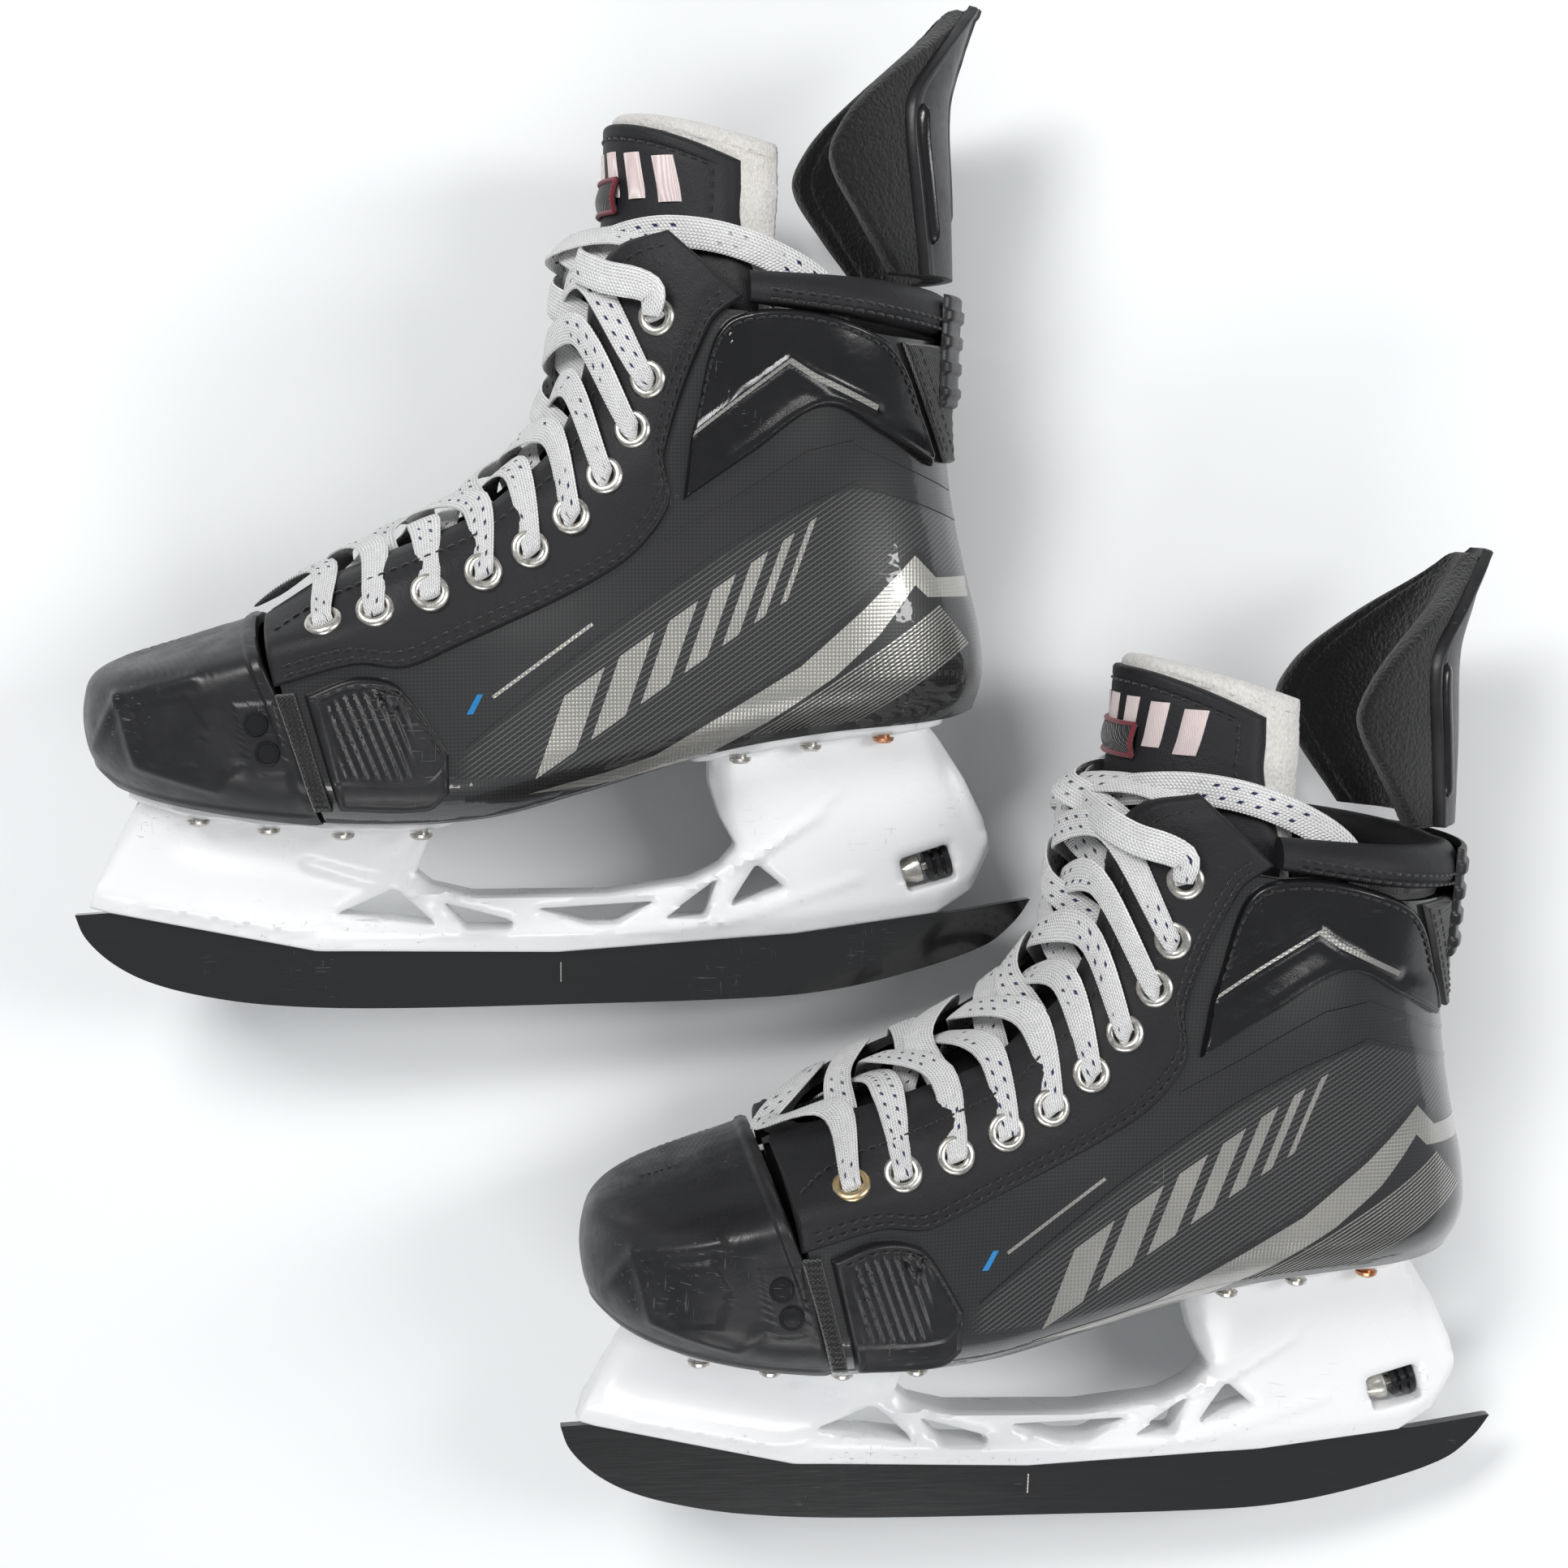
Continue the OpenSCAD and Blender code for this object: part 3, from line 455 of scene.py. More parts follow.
def plate(loops, half_at, step, radius, slot_at=None, middle=None):
    """A solid seen from the side: the first loop is its outline and the others are holes.

    half_at(x, z, gap) is half its thickness, gap in from the nearest edge, and slot_at(x, z)
    the depth of a slot cut into the wall at an edge point, or 0."""
    edge = np.concatenate(loops)

    def gap_of(p):
        return np.min([distance(p, loop) for loop in loops], axis=0)

    def keep(p):
        in_hole = np.zeros(len(p), bool)
        for hole in loops[1:]:
            in_hole |= inside(p, hole)
        return inside(p, loops[0]) & ~in_hole

    rows = []
    for loop in loops:
        way = np.roll(loop, -1, 0) - np.roll(loop, 1, 0)
        side = unit(np.stack([-way[:, 1], way[:, 0]], 1))
        for share in (0.12, 0.4, 0.8):
            for sign in (-1, 1):
                rows.append(loop + side * radius * share * sign)
    rows = np.concatenate(rows)
    low, high = edge.min(0), edge.max(0)
    gx, gz = np.meshgrid(np.arange(low[0], high[0], step), np.arange(low[1], high[1], step * 0.87))
    gx = gx + (np.arange(gx.shape[0]) % 2 * step / 2)[:, None]
    fill = np.stack([gx.ravel(), gz.ravel()], 1)
    rows = rows[keep(rows)]
    rows = rows[gap_of(rows) > radius * 0.1]
    fill = fill[keep(fill)]
    fill = fill[gap_of(fill) > radius + step * 0.3]
    points = np.concatenate([edge, rows, fill])
    edges, at = [], 0
    for loop in loops:
        n = len(loop)
        edges += [(at + k, at + (k + 1) % n) for k in range(n)]
        at += n
    verts, _, tris, origin, _, _ = delaunay_2d_cdt([Vector(p) for p in points], edges, [], 0, 1e-5)
    flat = np.array([v[:] for v in verts])
    tris = np.array(tris)
    tris = tris[keep(flat[tris].mean(1))]
    index = {k: i for i, found in enumerate(origin) for k in found}
    gap = gap_of(flat)
    h = half_at(flat[:, 0], flat[:, 1], gap)
    y = np.zeros(len(flat)) if middle is None else middle(flat[:, 0], flat[:, 1])
    top = np.stack([flat[:, 0], y + h, flat[:, 1]], 1)
    bottom = np.stack([flat[:, 0], y - h, flat[:, 1]], 1)
    shift = len(flat)
    faces = [tuple(int(k) for k in t) for t in tris]
    faces += [tuple(int(k) + shift for k in reversed(t)) for t in tris]
    extra, chain = [], {}
    for a in {k for e in edges for k in e}:
        i = index[a]
        deep = 0 if slot_at is None else slot_at(*flat[i])
        if deep > 0:
            base = 2 * shift + len(extra)
            x, z = flat[i]
            extra += [(x, SLOT_HALF, z), (x, SLOT_HALF, z + deep),
                      (x, -SLOT_HALF, z + deep), (x, -SLOT_HALF, z)]
            chain[a] = [i, base, base + 1, base + 2, base + 3, i + shift]
        else:
            chain[a] = [i, i + shift]
    for a, b in edges:
        p, q = chain[a], chain[b]
        if len(p) == len(q):
            faces += [(p[k], p[k + 1], q[k + 1], q[k]) for k in range(len(p) - 1)]
        else:
            faces.append(tuple(p + q[::-1]))
    points = np.concatenate([top, bottom] + ([np.array(extra)] if extra else []))
    return Shape(points, faces)


# ---- materials ---------------------------------------------------------------------------------
class Finish:
    """A procedural material.  pattern and grain are coordinates in millimetres on the piece."""

    def __init__(self, name, **values):
        self.data = bpy.data.materials.new(name)
        self.data.use_nodes = True
        self.tree = self.data.node_tree
        self.shader = self.tree.nodes["Principled BSDF"]
        for key, value in values.items():
            self.shader.inputs[key.replace("_", " ")].default_value = value
        self.pattern = self.node("ShaderNodeAttribute", attribute_name="pattern").outputs["Vector"]
        self.grain = self.node("ShaderNodeAttribute", attribute_name="grain").outputs["Vector"]

    def node(self, kind, inputs=(), **settings):
        node = self.tree.nodes.new(kind)
        for key, value in settings.items():
            setattr(node, key, value)
        for key, value in dict(inputs).items():
            self.put(node.inputs[key], value)
        return node

    def put(self, socket, value):
        if isinstance(value, bpy.types.NodeSocket):
            self.tree.links.new(value, socket)
        else:
            socket.default_value = value

    def calc(self, operation, *values):
        node = self.node("ShaderNodeMath", operation=operation)
        for socket, value in zip(node.inputs, values):
            self.put(socket, value)
        return node.outputs[0]

    def parts(self, vector):
        return self.node("ShaderNodeSeparateXYZ", {"Vector": vector}).outputs

    def noise(self, scale, detail=3.0, vector=None, roughness=0.5):
        return self.node("ShaderNodeTexNoise", {
            "Vector": vector or self.grain, "Scale": scale, "Detail": detail,
            "Roughness": roughness}).outputs["Fac"]

    def cells(self, scale, vector=None, feature="F1"):
        return self.node("ShaderNodeTexVoronoi", {
            "Vector": vector or self.grain, "Scale": scale}, feature=feature).outputs["Distance"]

    def mapped(self, scale, turn=(0, 0, 0), vector=None):
        return self.node("ShaderNodeMapping", {
            "Vector": vector or self.grain, "Scale": scale, "Rotation": turn}).outputs[0]

    def fit(self, value, low, high, to_low=0.0, to_high=1.0):
        return self.node("ShaderNodeMapRange", {
            "Value": value, "From Min": low, "From Max": high, "To Min": to_low,
            "To Max": to_high}).outputs[0]

    def blend(self, factor, a, b):
        node = self.node("ShaderNodeMix", data_type="RGBA")
        self.put(node.inputs[0], factor)
        self.put(node.inputs[6], a)
        self.put(node.inputs[7], b)
        return node.outputs[2]

    def bump(self, height, distance, normal=None):
        node = self.node("ShaderNodeBump", {"Height": height, "Distance": distance * MM,
                                            "Strength": 1.0})
        if normal is not None:
            self.put(node.inputs["Normal"], normal)
        return node.outputs[0]

    def weave(self, pitch):
        """Diagonal threads over and under, -1 to 1; pitch is in radians for a millimetre."""
        x, _, z = self.parts(self.pattern)
        up = self.calc("MULTIPLY", self.calc("ADD", x, z), pitch)
        down = self.calc("MULTIPLY", self.calc("SUBTRACT", x, z), pitch)
        return self.calc("MULTIPLY", self.calc("SINE", up), self.calc("SINE", down))

    def scuffs(self, amount, turn=0.6, fine=1.0):
        """Thin scratches in patches, 0 to 1."""
        lines = self.noise(fine, 2.0, self.mapped((0.09, 0.6, 1.6), (0.2, turn, 0.3)))
        more = self.noise(fine * 1.3, 2.0, self.mapped((1.1, 0.5, 0.07), (0, -turn, 0.2)))
        patch = self.fit(self.noise(0.035, 2.0), 0.62 - amount, 0.72 - amount)
        either = self.calc("MAXIMUM", self.fit(lines, 0.66, 0.70), self.fit(more, 0.68, 0.72))
        return self.calc("MULTIPLY", either, patch)

    def use(self, colour=None, roughness=None, normal=None, coat_normal=None):
        for key, value in (("Base Color", colour), ("Roughness", roughness), ("Normal", normal),
                           ("Coat Normal", coat_normal)):
            if value is not None:
                self.put(self.shader.inputs[key], value)
        return self.data


WEAVE_PITCH = 2.9      # of the shell's fabric
PINSTRIPE_PITCH = 1.35


def grey(v, blue=1.0):
    return (v, v, v * blue, 1)


def leather_finish():
    m = Finish("synthetic_leather", Specular_IOR_Level=0.32)
    cloud = m.noise(0.05, 4.0)
    pores = m.fit(m.cells(1.5), 0.0, 0.5)
    creases = m.noise(0.22, 5.0, roughness=0.7)
    scuff = m.scuffs(0.02)
    colour = m.blend(cloud, grey(0.008, 1.1), grey(0.017, 1.15))
    colour = m.blend(m.calc("MULTIPLY", scuff, 0.5), colour, grey(0.06))
    rough = m.fit(cloud, 0.3, 0.7, 0.5, 0.64)
    return m.use(colour, rough, m.bump(pores, 0.05, m.bump(creases, 0.3)))


def carbon_finish():
    m = Finish("carbon_shell", Coat_Weight=1.0, Coat_Roughness=0.035, Specular_IOR_Level=0.5)
    weave = m.weave(WEAVE_PITCH)
    x, _, z = m.parts(m.pattern)
    across = m.calc("ADD", m.calc("MULTIPLY", x, -0.569), m.calc("MULTIPLY", z, 0.822))
    line = m.calc("FRACT", m.calc("DIVIDE", across, PINSTRIPE_PITCH))
    mask = m.node("ShaderNodeAttribute", attribute_name="lines").outputs["Fac"]
    fine = m.calc("MULTIPLY", m.fit(line, 0.30, 0.22), mask)
    base = m.blend(m.fit(weave, -0.4, 0.4), grey(0.0035), grey(0.008, 1.1))
    colour = m.blend(m.calc("MULTIPLY", fine, 0.8), base, grey(0.10, 0.97))
    wear = m.scuffs(0.0, 0.9)
    colour = m.blend(m.calc("MULTIPLY", wear, 0.6), colour, grey(0.22))
    rough = m.fit(weave, -0.5, 0.5, 0.36, 0.46)
    peel = m.noise(0.16, 2.0)
    under = m.bump(weave, 0.012)
    return m.use(colour, rough, under, m.bump(wear, -0.03, m.bump(peel, 0.14)))


def plastic_finish(name="satin_plastic", dark=0.010, rough=(0.3, 0.46), wear=0.03):
    m = Finish(name, Specular_IOR_Level=0.45)
    cloud = m.noise(0.06, 5.0, roughness=0.6)
    scuff = m.scuffs(wear)
    smear = m.fit(m.noise(0.5, 4.0, m.mapped((0.15, 1, 1), (0, 0.5, 0))), 0.5, 0.75)
    colour = m.blend(cloud, grey(dark * 0.7, 1.1), grey(dark * 1.5, 1.1))
    colour = m.blend(m.calc("MULTIPLY", scuff, 0.55), colour, grey(0.14))
    shine = m.calc("ADD", m.fit(cloud, 0.3, 0.7, *rough), m.calc("MULTIPLY", smear, 0.08))
    shine = m.calc("ADD", shine, m.calc("MULTIPLY", scuff, 0.2))
    skin = m.bump(m.noise(2.2, 3.0), 0.03, m.bump(m.noise(0.09, 3.0), 0.25))
    return m.use(colour, shine, m.bump(scuff, -0.06, skin))


def cloth_finish(name, dark, light, thread=1.1, sheen=0.4, rough=0.9):
    """A plain weave of raised threads."""
    m = Finish(name, Sheen_Weight=sheen, Roughness=rough, Specular_IOR_Level=0.2)
    x, y, z = m.parts(m.pattern)
    k = 2 * math.pi / thread
    over = m.calc("SINE", m.calc("MULTIPLY", x, k))
    through = m.calc("SINE", m.calc("MULTIPLY", m.calc("ADD", y, z), k))
    weave = m.calc("MULTIPLY", over, through)
    cloud = m.noise(0.08, 4.0)
    tone = m.calc("ADD", m.calc("MULTIPLY", weave, 0.25), cloud)
    return m.use(m.blend(tone, dark, light), None,
                 m.bump(weave, 0.16, m.bump(m.noise(3.0, 2.0), 0.1)))


def felt_finish(name, dark, light, sheen, tuft=0.55):
    """Matted fibres."""
    m = Finish(name, Sheen_Weight=sheen, Roughness=1.0, Specular_IOR_Level=0.1)
    curl = m.noise(1.6, 4.0, m.mapped((1, 1, 0.5), (0.4, 0.2, 0.7)), 0.75)
    cloud = m.noise(0.07, 4.0)
    tone = m.calc("ADD", m.calc("MULTIPLY", m.fit(curl, 0.3, 0.7), 0.6),
                  m.calc("MULTIPLY", cloud, 0.4))
    return m.use(m.blend(tone, dark, light), None,
                 m.bump(curl, tuft, m.bump(m.cells(0.8), 0.3)))


def lace_finish():
    """A flat braid: herringbone yarns with two rows of navy tracer dashes."""
    m = Finish("white_lace", Sheen_Weight=0.25, Roughness=0.85, Specular_IOR_Level=0.2)
    run, across, _ = m.parts(m.pattern)
    wide = m.calc("ABSOLUTE", across)
    slant = m.calc("ADD", run, m.calc("MULTIPLY", wide, 0.8))
    yarn = m.calc("SINE", m.calc("MULTIPLY", slant, 2 * math.pi / 1.15))
    rib = m.calc("SINE", m.calc("MULTIPLY", across, 2 * math.pi / 0.9))
    weave = m.calc("MULTIPLY", yarn, m.calc("ADD", 1.2, rib))
    phase = m.calc("FRACT", m.calc("DIVIDE", m.calc("ADD", run, m.calc("MULTIPLY", across, 0.9)),
                                   5.2))
    dash = m.fit(m.calc("ABSOLUTE", m.calc("SUBTRACT", phase, 0.5)), 0.17, 0.12)
    row = m.fit(m.calc("ABSOLUTE", m.calc("SUBTRACT", wide, 1.7)), 0.55, 0.38)
    patch = m.fit(m.noise(0.05, 1.0), 0.50, 0.53)
    tracer = m.calc("MULTIPLY", m.calc("MULTIPLY", dash, row), patch)
    cloth = m.blend(m.fit(m.calc("ADD", m.calc("MULTIPLY", weave, 0.3), m.noise(0.3, 3.0)), 0.0,
                          1.0), (0.72, 0.715, 0.71, 1), (0.97, 0.965, 0.955, 1))
    colour = m.blend(tracer, cloth, (0.012, 0.02, 0.09, 1))
    return m.use(colour, None, m.bump(weave, 0.16, m.bump(m.noise(2.5, 3.0), 0.12)))


def nylon_finish():
    """White moulded nylon, scratched and scuffed grey where the ice and other skates reach."""
    m = Finish("white_nylon", Specular_IOR_Level=0.5)
    low = m.fit(m.parts(m.pattern)[2], 40, 22)
    scuff = m.scuffs(0.07, 0.45, 1.2)
    chips = m.calc("MULTIPLY", m.fit(m.noise(0.45, 6.0, roughness=0.7), 0.63, 0.67), low)
    dirt = m.calc("MAXIMUM", m.calc("MULTIPLY", scuff, 0.55), m.calc("MULTIPLY", chips, 0.5))
    cloud = m.noise(0.03, 3.0)
    white = m.blend(cloud, (0.80, 0.81, 0.82, 1), (0.88, 0.88, 0.88, 1))
    colour = m.blend(dirt, white, (0.24, 0.24, 0.25, 1))
    rough = m.calc("ADD", m.fit(cloud, 0.3, 0.7, 0.2, 0.32), m.calc("MULTIPLY", dirt, 0.3))
    return m.use(colour, rough, m.bump(dirt, -0.08, m.bump(m.noise(0.12, 2.0), 0.08)))


def steel_finish():
    """Black coated steel, polished lengthwise."""
    m = Finish("coated_steel", Metallic=0.0, Specular_IOR_Level=0.6, Coat_Weight=0.6,
               Coat_Roughness=0.06)
    brushed = m.noise(2.5, 3.0, m.mapped((0.03, 1, 3)))
    scuff = m.scuffs(0.04, 0.1, 1.6)
    colour = m.blend(brushed, grey(0.003), grey(0.012))
    colour = m.blend(m.calc("MULTIPLY", scuff, 0.35), colour, grey(0.16))
    rough = m.calc("ADD", m.fit(brushed, 0.3, 0.7, 0.10, 0.2), m.calc("MULTIPLY", scuff, 0.25))
    return m.use(colour, rough, m.bump(brushed, 0.008))


def metal_finish(name, colour, dark, rough=(0.22, 0.42), wear=0.03):
    m = Finish(name, Metallic=1.0)
    cloud = m.noise(0.5, 5.0, roughness=0.7)
    brushed = m.noise(3.0, 2.0, m.mapped((1, 1, 0.1)))
    scuff = m.scuffs(wear, 0.5, 2.0)
    tone = m.blend(m.fit(cloud, 0.35, 0.65), dark, colour)
    shine = m.calc("ADD", m.fit(cloud, 0.3, 0.7, *rough), m.calc("MULTIPLY", scuff, 0.2))
    return m.use(tone, shine, m.bump(brushed, 0.012))


def foil_finish():
    """Satin silver film under the shell's clear coat, worn thin in places."""
    m = Finish("silver_foil", Metallic=0.85, Coat_Weight=1.0, Coat_Roughness=0.05)
    weave = m.weave(WEAVE_PITCH)
    cloud = m.noise(0.05, 3.0)
    wear = m.scuffs(0.0, 0.9)
    tone = m.blend(cloud, (0.30, 0.30, 0.29, 1), (0.52, 0.50, 0.45, 1))
    tone = m.blend(m.calc("MULTIPLY", wear, 0.7), tone, grey(0.05))
    return m.use(tone, m.fit(weave, -0.6, 0.6, 0.3, 0.44), m.bump(weave, 0.03),
                 m.bump(m.noise(0.16, 2.0), 0.14))


def thread_finish(name, colour, dark, rough=0.6):
    m = Finish(name, Sheen_Weight=0.3, Roughness=rough, Specular_IOR_Level=0.3)
    run, across, _ = m.parts(m.pattern)
    twist = m.calc("SINE", m.calc("MULTIPLY", m.calc("ADD", run, across), 2 * math.pi / 0.55))
    tone = m.blend(m.fit(m.calc("ADD", twist, m.noise(0.4, 3.0)), -1.0, 2.0), dark, colour)
    return m.use(tone, None, m.bump(twist, 0.08))


def floor_finish():
    data = bpy.data.materials.new("floor")
    data.use_nodes = True
    shader = data.node_tree.nodes["Principled BSDF"]
    shader.inputs["Base Color"].default_value = (0.86, 0.87, 0.875, 1)
    shader.inputs["Roughness"].default_value = 0.55
    shader.inputs["Specular IOR Level"].default_value = 0.2
    return data


FINISH = {
    "leather": leather_finish(),
    "carbon": carbon_finish(),
    "plastic": plastic_finish(),
    "cap": plastic_finish("toe_cap_plastic", 0.011, (0.28, 0.5), 0.09),
    "gloss": plastic_finish("gloss_plastic", 0.008, (0.12, 0.24), 0.02),
    "webbing": cloth_finish("webbing", grey(0.006), grey(0.024), 1.3),
    "lining": cloth_finish("lining_fabric", grey(0.006), grey(0.02), 0.9, 0.6),
    "black_felt": felt_finish("black_felt", grey(0.002), grey(0.014), 0.35),
    "white_felt": felt_finish("white_felt", (0.50, 0.47, 0.43, 1), (0.95, 0.93, 0.90, 1), 0.3),
    "lace": lace_finish(),
    "nylon": nylon_finish(),
    "steel": steel_finish(),
    "nickel": metal_finish("nickel", (0.74, 0.71, 0.66, 1), (0.50, 0.48, 0.44, 1)),
    "brass": metal_finish("brass", (0.80, 0.56, 0.22, 1), (0.55, 0.50, 0.38, 1)),
    "copper": metal_finish("copper", (0.78, 0.40, 0.22, 1), (0.45, 0.22, 0.12, 1)),
    "foil": foil_finish(),
    "thread": thread_finish("black_thread", grey(0.012), grey(0.003)),
    "red": thread_finish("red_edge", (0.28, 0.015, 0.035, 1), (0.08, 0.005, 0.01, 1)),
    "badge": thread_finish("embroidery", (0.90, 0.80, 0.78, 1), (0.62, 0.48, 0.46, 1)),
    "blue": thread_finish("blue_mark", (0.02, 0.25, 0.60, 1), (0.015, 0.2, 0.5, 1), 0.3),
}

# ---- placing -----------------------------------------------------------------------------------
GUARD_PIVOT = (115.6, 0, 216.3)
GRAIN_SHIFT = 400.0    # keeps the right skate's scratches from repeating the left one's
WELD = 1e-6


class Skate:
    """One skate: its place on the ground is read from its own joints."""

    def __init__(self, name):
        self.name = name
        self.hand = 1 if name == "left" else -1
        guard = joints[name + "_guard_flex"]
        across = np.array(guard["axis"], float)
        up = -np.array(joints[name + "_runner_release"]["axis"], float)
        self.turn = np.stack([np.cross(across, up), across, up])
        self.at = np.array(guard["pos_m"], float) / MM - np.array(GUARD_PIVOT) @ self.turn

    def place(self, points):
        """Points in the row frame, in metres."""
        p = np.asarray(points, float) * [1, self.hand, 1]
        return (p @ self.turn + self.at) * MM

    def make(self, name, shape, finish, marks=()):
        mesh = bpy.data.meshes.new(f"{self.name}_{name}")
        mesh.from_pydata(self.place(shape.points).tolist(), [], shape.faces)
        for key, value in {"pattern": shape.pattern,
                           "grain": shape.points + (0 if self.hand > 0 else GRAIN_SHIFT)}.items():
            mesh.attributes.new(key, "FLOAT_VECTOR", "POINT").data.foreach_set(
                "vector", np.asarray(value, np.float32).ravel())
        for key, value in dict(marks).items():
            mesh.attributes.new(key, "FLOAT", "POINT").data.foreach_set(
                "value", np.asarray(value, np.float32).ravel())
        bm = bmesh.new()
        bm.from_mesh(mesh)
        bmesh.ops.remove_doubles(bm, verts=bm.verts, dist=WELD)
        bmesh.ops.recalc_face_normals(bm, faces=bm.faces)
        bm.to_mesh(mesh)
        bm.free()
        mesh.materials.append(finish)
        piece = bpy.data.objects.new(mesh.name, mesh)
        bpy.context.collection.objects.link(piece)
        return piece


SKATES = [Skate("left"), Skate("right")]


def add(name, shape, finish, nodes=(), body="boot", sharp=38, marks=(),
        bend=None, skates=SKATES):
    """The same piece on both skates, riding on a body (a piece given bend is baked in place
    instead) and standing for CAD nodes.
    """
    made = []
    for skate in skates:
        piece = skate.make(name, shape, FINISH[finish], marks)
        piece.data.shade_smooth()
        piece.data.set_sharp_from_angle(angle=math.radians(sharp))
        if bend:
            lower, upper = (Vector(skate.place(p)) for p in bend)
            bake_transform(piece)
        else:
            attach(piece, f"{skate.name}_{body}")
        if nodes:
            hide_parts(*[f"{skate.name}_{node}" for node in nodes])
        made.append(piece)
    return made


BOTH = (-1, 1)

# ---- hard shell and what lies in it ------------------------------------------------------------
LINES_TOP = [[-34, 80], [-10, 99], [9, 114], [42, 137], [60, 147], [80, 156], [100, 151],
             [125, 143]]
LINES_LOW = [[-34, 74], [9, 77], [23, 81], [42, 93], [65, 107], [99, 138], [106, 132], [125, 131]]


def shell_grid(n, m, t0, t1, d):
    k = np.linspace(-1, 1, 2 * n + 1)
    s = np.sin(np.pi / 2 * (1 - np.abs(k)))
    x0 = mix(-69, 119, s)
    top = along(SHELL_TOP, s)
    t = np.linspace(t0, t1, m + 1)[:, None]
    z = mix(sole(x0)[None], top[None, :, 1], t)
    x = mix(x0[None], top[None, :, 0], t) + s**4 * (back(z, d) - mix(119, 113, t))
    return surf(np.where(k < 0, -1, 1), x, z, d)


def lines_at(points):
    """Where the shell carries pinstripes, 0 to 1."""
    x, z = points[:, 0], points[:, 2]
    return (smooth((spline(LINES_TOP, x) - z) / 1.2) * smooth((z - spline(LINES_LOW, x)) / 1.2)
            * smooth((x + 32) / 3))


def make_shell():
    shape = slab(shell_grid(120, 72, 0, 1, 0.0), shell_grid(120, 72, 0, 1, -SHELL_T))
    add("shell", shape, "carbon", ["shell"],
        marks={"lines": lines_at(shape.points)})
    relief = np.array([[-30, 83], [-10, 99.5], [9, 114.5], [42, 137.5], [60, 147.5], [80, 156.5],
                       [100, 151.5], [116, 146]])
    upper = np.array([[26, 141], [44, 151], [66, 165], [79, 168], [100, 160], [113, 155]])
    ridges = join([strip(side, line, line + [0.1, 1.0], d=0.28) for side in BOTH
                   for line in (relief, upper)])
    add("shell_ridges", ridges, "carbon", marks={"lines": 0 * ridges.points[:, 0]})


def sole_plate(x0, x1, n, lift0, lift1, half_at, across=12):
    x = np.linspace(x0, x1, n + 1)
    v = np.linspace(-1, 1, across + 1)[:, None]

    def row(lift):
        return np.stack(np.broadcast_arrays(x, centre(x) + v * half_at(x), sole(x) + lift), -1)
    return slab(row(lift1), row(lift0))


def make_sole():
    plate_half = lambda x: half(x, sole(x) + 0.2, -SHELL_T - 0.6)
    add("outsole", sole_plate(-125, 118, 80, 0.1, 2.6, plate_half), "carbon",
        ["outsole"])
    bed_half = lambda x: half(x, sole(x) + 5, LINER_D[0] - 1)
    add("footbed", sole_plate(-116, 108, 70, 4, 7, bed_half), "lining",
        ["footbed"])
    add("liner", slab(shell_grid(60, 40, 1 / 6, 1, LINER_D[1]),
                      shell_grid(60, 40, 1 / 6, 1, LINER_D[0])),
        "lining", ["liner"])


# ---- silver marks on the shell -----------------------------------------------------------------
STRIPE_TOP = [[-13, 69.5], [9, 75], [23, 79.5], [42, 91], [65, 105], [83, 121], [99, 136.5],
              [106, 130], [118, 130]]
STRIPE_LOW = [[6, 71], [20, 74], [38, 78.5], [56, 89], [75, 102], [88, 114], [99, 128],
              [103, 124.5], [118.5, 124]]
BAR_START = np.array([-11.0, 74.0])
BAR_ALONG = np.array([0.82, 0.57])
BAR_LEAN = np.array([0.33, 0.94])
BAR_HEIGHT = 25.0
BAR_WIDTHS = (14, 12, 10, 8, 6, 4, 2.5)
BAR_GAP = 5.2


def bars(start, along_way, lean, height, widths, gap):
    """Slanted bars in a row, each a pair of edges."""
    at, pairs = 0.0, []
    for width in widths:
        foot = start + along_way * at
        pairs.append(([foot, foot + lean * height],
                      [foot + along_way * width, foot + along_way * width + lean * height]))
        at += width + gap
    return pairs


def make_marks():
    foil = []
    for side in BOTH:
        foil.append(strip(side, STRIPE_TOP, STRIPE_LOW))
        foil += [strip(side, a, b) for a, b in
                 bars(BAR_START, BAR_ALONG, BAR_LEAN, BAR_HEIGHT, BAR_WIDTHS, BAR_GAP)]
        for k in range(15):
            t = k / 14
            start = mix(np.array([52, 85.0]), np.array([82, 88.5]), t)
            stop = mix(np.array([107, 122.0]), np.array([117, 111.0]), t)
            foil.append(strip(side, [start, stop], [start + [0.2, -0.1], stop + [0.45, -0.4]]))
        foil.append(strip(side, [[-23, 98], [5, 118]], [[-22.4, 97.2], [5.6, 117.2]]))
    add("silver_marks", join(foil), "foil")
    slash = [strip(side, [[-30, 93], [-27, 98.5]], [[-28.2, 93], [-25.4, 98.5]]) for side in BOTH]
    add("blue_mark", join(slash), "blue")


